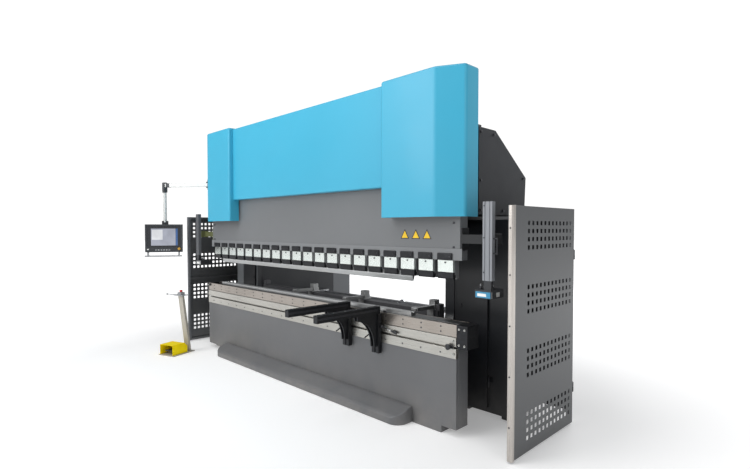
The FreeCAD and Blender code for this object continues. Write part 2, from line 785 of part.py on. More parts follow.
def make_covers():
    """Blue cover boxes, recessed centre panel, cross members and upper side housings."""
    back = RAM_FRONT - STRIP_T - COVER_RAM_GAP
    line = [
        (COVER_IN, back),
        (COVER_IN, COVER_FRONT),
        (COVER_FLAT, COVER_FRONT),
        (COVER_OUT, COVER_SIDE_FRONT),
        (COVER_OUT, COVER_SIDE_BACK),
    ]
    skin = wall(line, SHEET, COVER_LOW, COVER_TOP)
    lid = prism_z(line + [(COVER_IN, COVER_SIDE_BACK)], COVER_TOP - SHEET, COVER_TOP)
    shell = fuse([skin, lid])
    save("cover_boxes", group([shell, mirror(shell)]))
    y_back = RAM_FRONT - STRIP_T - COVER_RAM_GAP
    face = box(-COVER_IN, COVER_IN, PANEL_FRONT, PANEL_FRONT + SHEET, PANEL_LOW, PANEL_TOP)
    low = box(-COVER_IN, COVER_IN, PANEL_FRONT, y_back, PANEL_LOW, PANEL_LOW + SHEET)
    top = box(-COVER_IN, COVER_IN, PANEL_FRONT, COVER_SIDE_BACK, PANEL_TOP - SHEET, PANEL_TOP)
    save("cover_centre", fuse([face, low, top]))

    members = []
    arm = box(CYL_X - BRACKET_W / 2, CYL_X + BRACKET_W / 2, COVER_FRONT + SHEET, BRACKET_BACK,
              FRAME_TOP, FRAME_TOP + BRACKET_H)
    post = box(CYL_X - BRACKET_W / 2, CYL_X + BRACKET_W / 2, 0.0, BRACKET_W, FRAME_TOP + BRACKET_H,
               COVER_TOP - SHEET)
    members.append(fuse([arm, post]))
    members.append(mirror(members[0]))
    rear_y = FRAME_REAR - CROSS_Y - 60.0
    members.append(box(-FRAME_IN, FRAME_IN, rear_y, rear_y + CROSS_Y, 200.0, 200.0 + CROSS_H))
    y2 = FRAME_TOP_REAR - CROSS_Y - 40.0
    members.append(box(-FRAME_IN, FRAME_IN, y2, y2 + CROSS_Y, 1900.0, 1900.0 + CROSS_H))
    save("cross_members", group(members))

    outline = [
        (HOUSING_FRONT, HOUSING_LOW),
        (HOUSING_REAR - 22.0, HOUSING_LOW),
        (HOUSING_REAR, HOUSING_KNEE_Z),
        (HOUSING_KNEE_Y, HOUSING_TOP),
        (HOUSING_FRONT, HOUSING_TOP),
    ]
    solid = prism_x(outline, FRAME_OUT, HOUSING_OUT)
    inner = [
        (HOUSING_FRONT + SHEET, HOUSING_LOW + SHEET),
        (HOUSING_REAR - 22.0 - SHEET, HOUSING_LOW + SHEET),
        (HOUSING_REAR - SHEET - 1.0, HOUSING_KNEE_Z - 2 * SHEET),
        (HOUSING_KNEE_Y - SHEET, HOUSING_TOP - 2 * SHEET),
        (HOUSING_FRONT + SHEET, HOUSING_TOP - 2 * SHEET),
    ]
    room = prism_x(inner, FRAME_OUT - 1.0, HOUSING_OUT - SHEET)
    shell = solid.cut(room)
    save("side_housings", group([shell, mirror(shell)]))


def make_cabinets():
    """Side cabinets with doors, shelves and control modules."""
    x0 = FRAME_OUT
    body = box(x0, CAB_OUT, CAB_FRONT, CAB_REAR, CAB_LOW, CAB_TOP)
    room = box(x0 + SHEET, CAB_OUT - SHEET, CAB_FRONT + SHEET, CAB_REAR - SHEET, CAB_LOW + SHEET, CAB_TOP - SHEET)
    gate = box(DOOR_IN + DOOR_FRAME, DOOR_AXIS_X - 2 * DOOR_FRAME, CAB_FRONT - 1.0, CAB_FRONT + SHEET + 1.0,
               DOOR_LOW + DOOR_FRAME, DOOR_TOP - DOOR_FRAME)
    shell = body.cut(room).cut(gate)
    feet = []
    for x in (x0 + CAB_FOOT, CAB_OUT - CAB_FOOT):
        for y in (CAB_FRONT + CAB_FOOT, CAB_REAR - CAB_FOOT):
            feet.append(box(x - 30, x + 30, y - 30, y + 30, 0.0, CAB_LOW))
    shell = fuse([shell] + feet)
    save("cabinets", group([shell, mirror(shell)]))

    back = CAB_REAR - SHEET
    plate = box(x0 + 60, CAB_OUT - 60, back - 12.0, back, CAB_LOW + 120, CAB_TOP - 120)
    inside = [plate]
    height = CAB_TOP - CAB_LOW - 240 - 60
    step = height / MODULE_ROWS
    for row in range(MODULE_ROWS):
        z = CAB_LOW + 150 + row * step
        inside.append(box(x0 + 100, CAB_OUT - 100, back - 92.0, back - 12.0, z, z + step * 0.62))
    for i in range(SHELF_COUNT):
        z = CAB_LOW + (i + 1) * (CAB_TOP - CAB_LOW) / (SHELF_COUNT + 1)
        shelf = box(x0 + SHEET, CAB_OUT - SHEET, CAB_FRONT + 120, back, z, z + SHEET)
        inside.append(mirror(shelf))
    save("cabinet_inside", group(inside))

    rear = box(-FRAME_IN - REAR_CAB_W, -FRAME_IN, FRAME_REAR, FRAME_REAR + REAR_CAB_D, REAR_CAB_LOW,
               REAR_CAB_LOW + REAR_CAB_H)
    plinth = box(-FRAME_IN - REAR_CAB_W + 20, -FRAME_IN - 20, FRAME_REAR + 20, FRAME_REAR + REAR_CAB_D - 20, 0.0,
                 REAR_CAB_LOW)
    room = box(-FRAME_IN - REAR_CAB_W + SHEET, -FRAME_IN - SHEET, FRAME_REAR + SHEET, FRAME_REAR + REAR_CAB_D - SHEET,
               REAR_CAB_LOW + SHEET, REAR_CAB_LOW + REAR_CAB_H - SHEET)
    vent = box(-FRAME_IN - REAR_CAB_W / 2 - 90, -FRAME_IN - REAR_CAB_W / 2 + 90, FRAME_REAR + REAR_CAB_D - SHEET - 1,
               FRAME_REAR + REAR_CAB_D + 1, REAR_CAB_LOW + REAR_CAB_H - 320, REAR_CAB_LOW + REAR_CAB_H - 140)
    save("rear_cabinet", fuse([rear, plinth]).cut(room).cut(vent))

    y1 = CAB_FRONT - DOOR_FACE_GAP
    y0 = y1 - DOOR_T
    edge = DOOR_AXIS_X - HINGE_D / 2 - DOOR_SIDE_GAP
    panel = box(DOOR_IN, edge, y0, y1, DOOR_LOW, DOOR_TOP)
    pieces = [panel]
    yc = (y0 + y1) / 2
    for z in (DOOR_LOW + 180, DOOR_TOP - 180 - HINGE_H):
        pieces.append(cyl(DOOR_AXIS_X, yc, z, HINGE_D, HINGE_H / 2 - SEAT / 2))
        pieces.append(box(edge - 10.0, DOOR_AXIS_X, yc - 2, yc + 2, z, z + HINGE_H / 2 - SEAT / 2))
    pieces.append(cyl(DOOR_IN + LATCH_IN, y0 - LATCH_OUT, LATCH_Z, LATCH_D, LATCH_OUT + 3.0, (0, 1, 0)))
    door = fuse(pieces)
    save("door_right", door)
    save("door_left", mirror(door))


def make_side_brackets():
    """Fixed hinge halves of doors and guards, and the pendant bracket."""
    parts = []
    yc = CAB_FRONT - DOOR_FACE_GAP - DOOR_T / 2
    for z in (DOOR_LOW + 180, DOOR_TOP - 180 - HINGE_H):
        z_mid = z + HINGE_H / 2 + SEAT / 2
        knuckle = cyl(DOOR_AXIS_X, yc, z_mid, HINGE_D, HINGE_H / 2 - SEAT / 2)
        leaf = box(DOOR_AXIS_X, DOOR_AXIS_X + 6.0, yc, CAB_FRONT, z_mid, z + HINGE_H)
        foot = box(DOOR_AXIS_X, DOOR_AXIS_X + 36.0, CAB_FRONT - 4.0, CAB_FRONT, z_mid, z + HINGE_H)
        parts.append(fuse([knuckle, leaf, foot]))
    gx = GUARD_X - GPOST_GAP
    ya = GUARD_AXIS_Y - GPOST_W / 2
    post = box(gx - GPOST_T, gx, ya, ya + GPOST_W, GPOST_LOW, GPOST_TOP)
    pieces = [post]
    for z in (HINGE_LOW_Z, HINGE_HIGH_Z):
        arm_y = GUARD_AXIS_Y - GARM_W / 2
        pieces.append(box(CAB_OUT, gx - GPOST_T, arm_y, arm_y + GARM_W, z - GARM_W, z))
    pieces.append(box(CAB_OUT, gx - GPOST_T, GUARD_AXIS_Y + FILL_BACK, GUARD_AXIS_Y + FILL_BACK + SHEET,
                      GPOST_LOW, GPOST_TOP))
    for z in (HINGE_LOW_Z, HINGE_HIGH_Z):
        pieces.append(cyl(GUARD_X, GUARD_AXIS_Y, z - KNUCKLE_H, KNUCKLE_D, KNUCKLE_H))
        pieces.append(cyl(GUARD_X, GUARD_AXIS_Y, z, PIN_D, KNUCKLE_H + 6.0))
        pieces.append(box(gx, GUARD_X, GUARD_AXIS_Y - 6, GUARD_AXIS_Y + 6, z - KNUCKLE_H, z))
    parts.append(fuse(pieces))
    both = parts + [mirror(p) for p in parts]

    x_face = -COVER_OUT
    px = x_face - PIVOT_OUT
    z0 = ARM_Z - ARM_H / 2
    z1 = ARM_Z + ARM_H / 2
    plate = box(x_face - 12.0, x_face, PIVOT_Y - 28.0, PIVOT_Y + 62.0, z0 - 45.0, z1 + 45.0)
    pieces = [plate]
    for low in (z0 - LUG_GAP - LUG_T, z1 + LUG_GAP):
        lug = box(px, x_face - 12.0, PIVOT_Y - PIVOT_D / 2 + 2, PIVOT_Y + PIVOT_D / 2 - 2, low, low + LUG_T)
        pieces.append(lug)
        pieces.append(cyl(px, PIVOT_Y, low, PIVOT_D - 4.0, LUG_T))
    pieces.append(cyl(px, PIVOT_Y, z0 - LUG_GAP - LUG_T, 24.0, ARM_H + 2 * LUG_GAP + 2 * LUG_T))
    save("side_brackets", group(both + [fuse(pieces)]))


def make_guards():
    """Side guards: frame with front post, and perforated panel."""
    t = GUARD_TUBE
    xc = GUARD_X
    y_post = GUARD_FRONT + GUARD_POST_W
    post = plan_round(xc - GUARD_POST_W / 2, xc + GUARD_POST_W / 2, GUARD_FRONT, y_post, GUARD_LOW, GUARD_TOP, 14.0)
    pieces = [post]
    x_in = xc - t / 2
    x_mid = xc + t / 2 - GUARD_SHEET
    pieces.append(box(x_in, x_mid, GUARD_REAR - t, GUARD_REAR, GUARD_LOW, GUARD_TOP))
    mid = (GUARD_LOW + GUARD_TOP) / 2
    for z in (GUARD_LOW, mid - t / 2, GUARD_TOP - t):
        pieces.append(box(x_in, x_mid, y_post - 6.0, GUARD_REAR, z, z + t))
    for z in (HINGE_LOW_Z, HINGE_HIGH_Z):
        barrel = cyl(xc, GUARD_AXIS_Y, z + SEAT, KNUCKLE_D, KNUCKLE_H)
        lug = box(xc - 4, xc + 4, GUARD_REAR - 4.0, GUARD_AXIS_Y, z + SEAT, z + SEAT + KNUCKLE_H)
        hole = cyl(xc, GUARD_AXIS_Y, z - 10.0, PIN_D + 2 * RUN, KNUCKLE_H + 40.0)
        pieces.append(fuse([barrel, lug]).cut(hole))
    guard = fuse(pieces)
    save("guard_frame_right", guard)
    save("guard_frame_left", mirror(guard))

    h = HOLE_SIDE / 2
    grids = (
        ("guard_panel_right", HOLE_FIRST_Y, HOLE_PITCH_Y, HOLE_TOP_Z, HOLE_GROUP_PITCH),
        ("guard_panel_left", LEFT_HOLE_FIRST_Y, LEFT_HOLE_PITCH_Y, LEFT_HOLE_TOP_Z, LEFT_GROUP_PITCH),
    )
    for name, first, pitch, top, drop in grids:
        panel = box(x_mid, x_mid + GUARD_SHEET, y_post, GUARD_REAR, GUARD_LOW, GUARD_TOP)
        holes = []
        for group_no in range(HOLE_GROUPS):
            for row in range(HOLE_ROWS):
                z = top - group_no * drop - row * HOLE_PITCH_Z
                for col in range(HOLE_COLS):
                    y = first + col * pitch
                    holes.append(box(x_mid - 1, x_mid + GUARD_SHEET + 1, y - h, y + h, z - h, z + h))
        panel = panel.cut(Part.makeCompound(holes))
        save(name, panel if name.endswith("right") else mirror(panel))


def make_sensors():
    """Beam sensor columns with their units."""
    col = box(COL_X - COL_W / 2, COL_X + COL_W / 2, COL_FRONT, COL_FRONT + COL_D, COL_LOW, COL_TOP)
    for y in (COL_FRONT, COL_FRONT + COL_D):
        for x in (COL_X - COL_W / 4, COL_X + COL_W / 4):
            col = col.cut(box(x - 4, x + 4, y - 5, y + 5, COL_LOW - 1, COL_TOP + 1))
    unit = box(UNIT_X - UNIT_W / 2, UNIT_X + UNIT_W / 2, COL_FRONT, COL_FRONT + UNIT_D, UNIT_LOW, UNIT_LOW + UNIT_H)
    neck = box(COL_X - NECK_W / 2, COL_X + NECK_W / 2, COL_FRONT + 4, COL_FRONT + COL_D - 4,
               UNIT_LOW + UNIT_H, COL_LOW)
    xh = COL_X + COL_W / 2
    yh = COL_FRONT + COL_D / 2
    grip = [cyl(xh + CHANDLE_OUT, yh, CHANDLE_Z - CHANDLE_L / 2, CHANDLE_D, CHANDLE_L)]
    for z in (CHANDLE_Z - CHANDLE_L / 2 + 8, CHANDLE_Z + CHANDLE_L / 2 - 8):
        grip.append(cyl(xh - 2.0, yh, z, CHANDLE_D - 2.0, CHANDLE_OUT + 2.0, (1, 0, 0)))
    whole = fuse([col, neck, unit] + grip)
    save("sensor_right", whole)
    save("sensor_left", mirror(whole))


def make_gauge():
    """Back gauge rails, carriage, ball screw, beam and fingers."""
    rail_x = FRAME_IN - GRAIL_W
    rails = []
    ledge = box(rail_x, FRAME_IN, GRAIL_FRONT, GRAIL_REAR, GRAIL_TOP - GRAIL_H, GRAIL_TOP)
    rails.append(ledge)
    rails.append(mirror(ledge))
    half = FRAME_IN - GRAIL_W
    hold_y = (GRAIL_FRONT, GRAIL_REAR - 60.0)
    for y in hold_y:
        bar = box(-half, half, y, y + 60.0, GSCREW_Z - 30.0, GSCREW_Z + 30.0)
        bar = bar.cut(cyl(0.0, y - 1.0, GSCREW_Z, GSCREW_D + 2 * RUN, 62.0, (0, 1, 0)))
        rails.append(bar)
    save("gauge_rails", group(rails))

    y0 = CARR_Y - CARR_L / 2
    y1 = CARR_Y + CARR_L / 2
    x_out = FRAME_IN - 4.0
    low = GRAIL_TOP + SEAT
    block = box(rail_x + 4.0 - 40.0, x_out, y0, y1, low, low + CARR_H)
    yc = CARR_Y
    lift_x1 = rail_x - 4.0
    column = box(lift_x1 - LIFT_W, lift_x1, yc - LIFT_D / 2, yc + LIFT_D / 2, low, LIFT_TOP)
    side = fuse([block, column])
    tie = box(-(lift_x1 - LIFT_W / 2), lift_x1 - LIFT_W / 2, yc - 25.0, yc + 25.0, low, low + 50.0)
    yn = yc + NUT_BACK
    nut = cyl(0.0, yn - NUT_L / 2, GSCREW_Z, NUT_D, NUT_L, (0, 1, 0))
    web = box(-NUT_D / 2, NUT_D / 2, yn - NUT_L / 2, yn + NUT_L / 2, GSCREW_Z, low + 20.0)
    hole = cyl(0.0, yn - NUT_L, GSCREW_Z, GSCREW_D + 2 * RUN, 2 * NUT_L, (0, 1, 0))
    carriage = fuse([side, mirror(side), tie, fuse([nut, web]).cut(hole)])
    save("gauge_carriage", carriage)

    screw = cyl(0.0, GRAIL_FRONT - 20.0, GSCREW_Z, GSCREW_D, GRAIL_REAR - GRAIL_FRONT + 60.0, (0, 1, 0))
    pulley = cyl(0.0, GRAIL_REAR + 4.0, GSCREW_Z, 90.0, 30.0, (0, 1, 0))
    front_nut = cyl(0.0, GRAIL_FRONT - 20.0, GSCREW_Z, 44.0, 20.0 - SEAT, (0, 1, 0))
    key = box(-4.0, 4.0, GRAIL_REAR + 4.0, GRAIL_REAR + 34.0, GSCREW_Z + 30.0, GSCREW_Z + 50.0)
    save("gauge_screw", fuse([screw, pulley, front_nut, key]))

    beam_half = lift_x1 - LIFT_W - SEAT
    beam_y0 = CARR_Y - BEAM_D / 2
    beam_y1 = CARR_Y + BEAM_D / 2
    beam = box(-beam_half, beam_half, beam_y0, beam_y1, BEAM_LOW, BEAM_LOW + BEAM_H)
    cheeks = []
    for side_sign in (1.0, -1.0):
        for y_a, y_b in ((CARR_Y - LIFT_D / 2 - SEAT - 14.0, CARR_Y - LIFT_D / 2 - SEAT),
                         (CARR_Y + LIFT_D / 2 + SEAT, CARR_Y + LIFT_D / 2 + SEAT + 14.0)):
            cheek = box(beam_half - 20.0, lift_x1 - 8.0, y_a, y_b, BEAM_LOW, BEAM_LOW + BEAM_H)
            cheeks.append(cheek if side_sign > 0 else mirror(cheek))
    save("gauge_beam", fuse([beam] + cheeks))

    top = BEAM_LOW + BEAM_H + SEAT
    names = ("finger_left", "finger_mid", "finger_right")
    for name, x in zip(names, FINGER_X):
        saddle = box(x - FINGER_W / 2, x + FINGER_W / 2, beam_y0 - SEAT - FINGER_SADDLE, beam_y1 + 10.0, top,
                     top + FINGER_SADDLE)
        lip = box(x - FINGER_W / 2, x + FINGER_W / 2, beam_y0 - SEAT - FINGER_SADDLE, beam_y0 - SEAT,
                  BEAM_LOW + 20.0, top + FINGER_SADDLE)
        bar = box(x - FINGER_BAR_W / 2, x + FINGER_BAR_W / 2, FINGER_FRONT + FINGER_NOSE_L, beam_y1, top + FINGER_SADDLE,
                  top + FINGER_SADDLE + FINGER_BAR_H)
        bar_z = top + FINGER_SADDLE
        head = box(x - FINGER_W / 2 + 4, x + FINGER_W / 2 - 4, CARR_Y - FINGER_HEAD_L / 2, CARR_Y + FINGER_HEAD_L / 2,
                   bar_z, bar_z + FINGER_HEAD_H)
        nose = box(x - FINGER_W / 2, x + FINGER_W / 2, FINGER_FRONT + 14, FINGER_FRONT + FINGER_NOSE_L + 10,
                   bar_z + FINGER_BAR_H - FINGER_NOSE_H, bar_z + FINGER_BAR_H + 6)
        tip = box(x - FINGER_W / 2 + 12, x + FINGER_W / 2 - 12, FINGER_FRONT, FINGER_FRONT + 24,
                  bar_z + FINGER_BAR_H - FINGER_NOSE_H + 4, bar_z + FINGER_BAR_H - 2)
        save(name, fuse([saddle, lip, bar, head, nose, tip]))


def make_supports():
    """Sheet supports that slide on the T-slot rail."""
    names = ("support_left", "support_right")
    for name, x in zip(names, SUPPORT_X):
        y1 = RAIL_FRONT - TABLE_SCREW_H - 2.0
        x0 = x - SUPPORT_W / 2
        x1 = x + SUPPORT_W / 2
        top = SUPPORT_LOW + SUPPORT_H
        arm = box(x0, x1, SUPPORT_FRONT, y1, SUPPORT_LOW, top)
        slot = box(x - 5, x + 5, SUPPORT_FRONT - 1, y1 + 1, top - 9, top + 1)
        arm = arm.cut(slot)
        yf = y1 - SUPPORT_PLATE_T
        inner = SUPPORT_BAR_GAP / 2
        outer = inner + SUPPORT_BAR_W
        bars = [
            box(x - outer, x - inner, yf, y1, SUPPORT_PLATE_LOW, SUPPORT_LOW),
            box(x + inner, x + outer, yf, y1, SUPPORT_PLATE_LOW, SUPPORT_LOW),
            box(x - outer, x + outer, yf, y1, SUPPORT_LOW - SUPPORT_TIE_H, SUPPORT_LOW),
            box(x - outer, x + outer, y1 - 14.0, y1, SUPPORT_PLATE_LOW + 60.0, SUPPORT_PLATE_LOW + 100.0),
        ]
        webs = []
        reach = SUPPORT_GUSSET
        drop = SUPPORT_LOW - SUPPORT_PLATE_LOW - 60.0
        hollow = []
        for k in range(SUPPORT_GUSSET_ARC + 1):
            a = math.radians(90.0 * k / SUPPORT_GUSSET_ARC)
            hollow.append((yf - reach + reach * 0.86 * math.sin(a), SUPPORT_LOW - drop + drop * 0.86 * math.cos(a)))
        outline = [(yf, SUPPORT_LOW), (yf - reach, SUPPORT_LOW)] + hollow + [(yf, SUPPORT_LOW - drop)]
        for xw in (x - outer + SUPPORT_BAR_W / 2, x + outer - SUPPORT_BAR_W / 2):
            xa = max(x0, xw - SUPPORT_GUSSET_T / 2) if xw < x else min(x1, xw + SUPPORT_GUSSET_T / 2) - SUPPORT_GUSSET_T
            webs.append(prism_x(outline, xa, xa + SUPPORT_GUSSET_T))
        neck = box(x0 + 4, x1 - 4, y1, RAIL_FRONT + SLOT_LIP + 2.0, SLOT_Z - SLOT_W / 2 + 0.5, SLOT_Z + SLOT_W / 2 - 0.5)
        nut = box(x0 + 4, x1 - 4, RAIL_FRONT + SLOT_LIP + 0.5, RAIL_FRONT + SLOT_LIP + SLOT_T_D - 2.0,
                  SLOT_Z - SLOT_T_W / 2 + 1.0, SLOT_Z + SLOT_T_W / 2 - 1.0)
        hub = cyl(x - outer, yf + SUPPORT_PLATE_T / 2, SLOT_Z, 30.0, 16.0, (-1, 0, 0))
        lever = cyl(x - outer - 10.0, yf + SUPPORT_PLATE_T / 2, SLOT_Z, LEVER_D, LEVER_L, (-0.45, -0.65, -0.61))
        save(name, fuse([arm, neck, nut, hub, lever] + bars + webs))


def make_pendant():
    """Pendant arm, drop tube with swivel, panel case and knob."""
    px = -COVER_OUT - PIVOT_OUT
    hub = cyl(0, 0, -ARM_H / 2, PIVOT_D, ARM_H)
    beam = box(0, ARM_L, -ARM_W / 2, ARM_W / 2, -ARM_H / 2, ARM_H / 2)
    elbow = cyl(ARM_L, 0, -ARM_H / 2, ARM_W, ARM_H)
    pin_hole = cyl(0, 0, -ARM_H, 24.0 + 2 * RUN, 2 * ARM_H)
    drop_hole = cyl(ARM_L, 0, -ARM_H, 30.0 + 2 * RUN, 2 * ARM_H)
    arm = fuse([hub, beam, elbow]).cut(pin_hole).cut(drop_hole)
    save("pendant_arm", turned(arm, ARM_ANGLE, px, PIVOT_Y, ARM_Z))

    ang = math.radians(ARM_ANGLE)
    ex = px + ARM_L * math.cos(ang)
    ey = PIVOT_Y + ARM_L * math.sin(ang)
    z_arm_low = ARM_Z - ARM_H / 2
    z_arm_top = ARM_Z + ARM_H / 2
    swivel_top = PCASE_LOW + PCASE_H * 0.5 + 40.0
    tube = cyl(0, 0, DROP_LOW, DROP_D, z_arm_low - SEAT - DROP_LOW)
    stem = cyl(0, 0, z_arm_low - 10.0, 30.0, ARM_H + 10.0 + SEAT)
    cap = cyl(0, 0, z_arm_top + SEAT, DROP_D, 14.0)
    head = box(-PSWIVEL_W / 2, PSWIVEL_W / 2, -20.0, 20.0, swivel_top - 80.0, DROP_LOW + 20.0)
    drop = fuse([tube, stem, cap, head])
    axis_z = swivel_top - 40.0
    drop = drop.cut(cyl(-PSWIVEL_W, 0.0, axis_z, 20.0 + 2 * RUN, 2 * PSWIVEL_W, (1, 0, 0)))
    save("pendant_drop", turned(drop, PANEL_YAW, ex, ey))

    front = -PCASE_D - PCASE_BACK
    case = box(-PCASE_W / 2, PCASE_W / 2, front, front + PCASE_D, PCASE_LOW, PCASE_LOW + PCASE_H)
    recess = box(-PCASE_W / 2 + 22, PCASE_W / 2 - 22, front - 1, front + 6, PCASE_LOW + 70, PCASE_LOW + PCASE_H - 22)
    case = case.cut(recess)
    pieces = [case]
    for s in (1.0, -1.0):
        xa = s * (PSWIVEL_W / 2 + SEAT)
        xb = s * (PSWIVEL_W / 2 + SEAT + 14.0)
        ear = box(min(xa, xb), max(xa, xb), front + PCASE_D, 22.0, axis_z - 30.0, axis_z + 30.0)
        pieces.append(ear)
    pieces.append(cyl(-PSWIVEL_W / 2 - 10.0, 0.0, axis_z, 20.0, PSWIVEL_W + 20.0, (1, 0, 0)))
    for s in (1.0, -1.0):
        xa = s * (PCASE_W / 2 - 40.0)
        lug = box(xa - 8, xa + 8, front - PBAR_OUT - PBAR_D / 2, front + 30.0, PCASE_LOW - PBAR_DROP, PCASE_LOW)
        pieces.append(lug)
    zb = PCASE_LOW - PBAR_DROP + PBAR_D / 2
    pieces.append(cyl(-PCASE_W / 2, front - PBAR_OUT, zb, PBAR_D, PCASE_W, (1, 0, 0)))
    save("panel_case", turned(fuse(pieces), PANEL_YAW, ex, ey))

    knob = cyl(PKNOB_X, front - SEAT, PCASE_LOW + PKNOB_Z, PKNOB_D, PKNOB_H, (0, -1, 0))
    grip = box(PKNOB_X - 3, PKNOB_X + 3, front - SEAT - PKNOB_H - 3, front - SEAT - PKNOB_H + 2,
               PCASE_LOW + PKNOB_Z - PKNOB_D * 0.4, PCASE_LOW + PKNOB_Z + PKNOB_D * 0.4)
    save("panel_knob", turned(fuse([knob, grip]), PANEL_YAW, ex, ey))


def make_station():
    """Pedal station: base with post and tray, hood, treadle and stop button."""
    base = box(-BASE_W / 2, BASE_W / 2, BASE_FRONT, BASE_REAR, 0.0, BASE_T)
    x0 = POST_X - POST_W / 2
    x1 = POST_X + POST_W / 2
    lean = POST_LEAN
    ya = POST_Y - POST_D / 2
    yb = POST_Y + POST_D / 2
    post = prism_x([(ya, BASE_T), (yb, BASE_T), (yb - lean, POST_H), (ya - lean, POST_H)], x0, x1)
    yt = POST_Y - lean
    tray = box(POST_X - TRAY_W / 2, POST_X + TRAY_W / 2, yt - TRAY_D / 2, yt + TRAY_D / 2, POST_H, POST_H + TRAY_T)
    z = POST_H + TRAY_T
    stop_box = box(POST_X - STOP_BOX / 2, POST_X + STOP_BOX / 2, yt - STOP_BOX / 2, yt + STOP_BOX / 2, z, z + STOP_BOX_H)
    stop_hole = cyl(POST_X, yt, z + 8.0, 16.0 + 2 * RUN, STOP_BOX_H)
    stop_box = stop_box.cut(stop_hole)
    bar = cyl(POST_X - TRAY_W / 2 + 5.0, yt, POST_H + TRAY_T / 2, BAR_D, BAR_L, (-1, 0, 0))
    bar_end = cyl(POST_X - TRAY_W / 2 + 5.0 - BAR_L, yt, POST_H + TRAY_T / 2, BAR_D + 10.0, 16.0, (-1, 0, 0))
    cheeks = []
    for s in (1.0, -1.0):
        xa = s * (TREADLE_W / 2 + SEAT)
        xb = s * (TREADLE_W / 2 + SEAT + 10.0)
        cheeks.append(box(min(xa, xb), max(xa, xb), TREADLE_AXIS_Y - 16, TREADLE_AXIS_Y + 16, BASE_T, TREADLE_AXIS_Z + 14))
    pin_l = TREADLE_W + 2 * SEAT + 20.0
    pin = cyl(-pin_l / 2, TREADLE_AXIS_Y, TREADLE_AXIS_Z, TREADLE_PIN_D, pin_l, (1, 0, 0))
    whole = fuse([base, post, tray, stop_box, bar, bar_end, pin] + cheeks)
    save("station_base", turned(whole, STATION_YAW, STATION_X, STATION_Y))

    side = [
        (HOOD_FRONT, BASE_T),
        (HOOD_REAR, BASE_T),
        (HOOD_REAR, HOOD_H - HOOD_SLOPE),
        (HOOD_REAR - HOOD_SLOPE, HOOD_H),
        (HOOD_FRONT, HOOD_H),
    ]
    t = HOOD_T
    room = [
        (HOOD_FRONT - 1.0, BASE_T - 1.0),
        (HOOD_REAR - t, BASE_T - 1.0),
        (HOOD_REAR - t, HOOD_H - HOOD_SLOPE - t * 0.4),
        (HOOD_REAR - HOOD_SLOPE - t * 0.4, HOOD_H - t),
        (HOOD_FRONT - 1.0, HOOD_H - t),
    ]
    hood = prism_x(side, -HOOD_W / 2, HOOD_W / 2).cut(prism_x(room, -HOOD_W / 2 + t, HOOD_W / 2 - t))
    save("pedal_hood", turned(hood, STATION_YAW, STATION_X, STATION_Y))

    tread = [
        (TREADLE_AXIS_Y + 14.0, TREADLE_AXIS_Z - 12.0),
        (TREADLE_AXIS_Y + 14.0, TREADLE_AXIS_Z + 12.0),
        (TREADLE_AXIS_Y - 12.0, TREADLE_AXIS_Z + 12.0),
        (TREADLE_FRONT, TREADLE_AXIS_Z + 6.0 + 12.0),
        (TREADLE_FRONT, TREADLE_AXIS_Z + 6.0 + 12.0 - TREADLE_T),
        (TREADLE_AXIS_Y - 12.0, TREADLE_AXIS_Z - 12.0),
    ]
    pedal = prism_x(tread, -TREADLE_W / 2, TREADLE_W / 2)
    pedal = pedal.cut(cyl(-TREADLE_W, TREADLE_AXIS_Y, TREADLE_AXIS_Z, TREADLE_PIN_D + 2 * RUN, 2 * TREADLE_W, (1, 0, 0)))
    save("pedal_treadle", turned(pedal, STATION_YAW, STATION_X, STATION_Y))

    z_top = z + STOP_BOX_H + STOP_GAP
    stem = cyl(POST_X, yt, z + 8.0 + STOP_GAP + 2.0, 16.0, z_top - z - 8.0 - STOP_GAP)
    head = cyl(POST_X, yt, z_top, STOP_D, STOP_H)
    save("station_stop", turned(fuse([stem, head]), STATION_YAW, STATION_X, STATION_Y))


def main():
    """Write every piece kind."""
    os.makedirs("parts", exist_ok=True)
    make_bed()
    make_tools()
    make_ram()
    make_frames()
    make_hydraulics()
    make_covers()
    make_cabinets()
    make_side_brackets()
    make_guards()
    make_sensors()
    make_gauge()
    make_supports()
    make_pendant()
    make_station()


main()
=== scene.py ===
"""Looks of a hydraulic press brake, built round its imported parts.

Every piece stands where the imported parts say, in metres, +X to the right of the operator, +Y to the rear,
+Z up. Each sub-assembly is a class: its fields are its sizes, and its build method makes and dresses it.
"""

import json
import logging
import math
from dataclasses import dataclass, field
from enum import Enum
from typing import Callable, Iterable, Sequence

import bmesh
import bpy
from mathutils import Matrix, Vector


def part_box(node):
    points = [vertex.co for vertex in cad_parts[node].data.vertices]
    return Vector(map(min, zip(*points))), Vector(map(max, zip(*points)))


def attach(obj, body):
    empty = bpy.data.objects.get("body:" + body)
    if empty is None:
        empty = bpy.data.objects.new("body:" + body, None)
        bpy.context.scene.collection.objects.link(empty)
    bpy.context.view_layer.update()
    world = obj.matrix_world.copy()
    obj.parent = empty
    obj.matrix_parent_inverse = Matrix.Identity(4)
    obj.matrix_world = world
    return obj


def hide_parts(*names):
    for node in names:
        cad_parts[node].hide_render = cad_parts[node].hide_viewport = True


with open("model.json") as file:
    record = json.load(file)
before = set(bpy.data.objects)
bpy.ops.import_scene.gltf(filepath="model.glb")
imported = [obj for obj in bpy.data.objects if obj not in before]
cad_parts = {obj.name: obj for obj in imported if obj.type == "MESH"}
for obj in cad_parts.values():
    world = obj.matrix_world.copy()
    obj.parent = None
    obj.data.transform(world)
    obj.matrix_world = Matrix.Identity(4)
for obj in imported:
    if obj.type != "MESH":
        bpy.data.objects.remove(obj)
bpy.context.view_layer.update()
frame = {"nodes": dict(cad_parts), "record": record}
LOG = logging.getLogger("press_brake")
SLOT_OF = {part["node"]: part["material_slot"] for part in frame["record"]["subparts"]}
BODY_OF = {node: body for body, nodes in frame["record"]["behaviour"]["bodies"].items() for node in nodes}

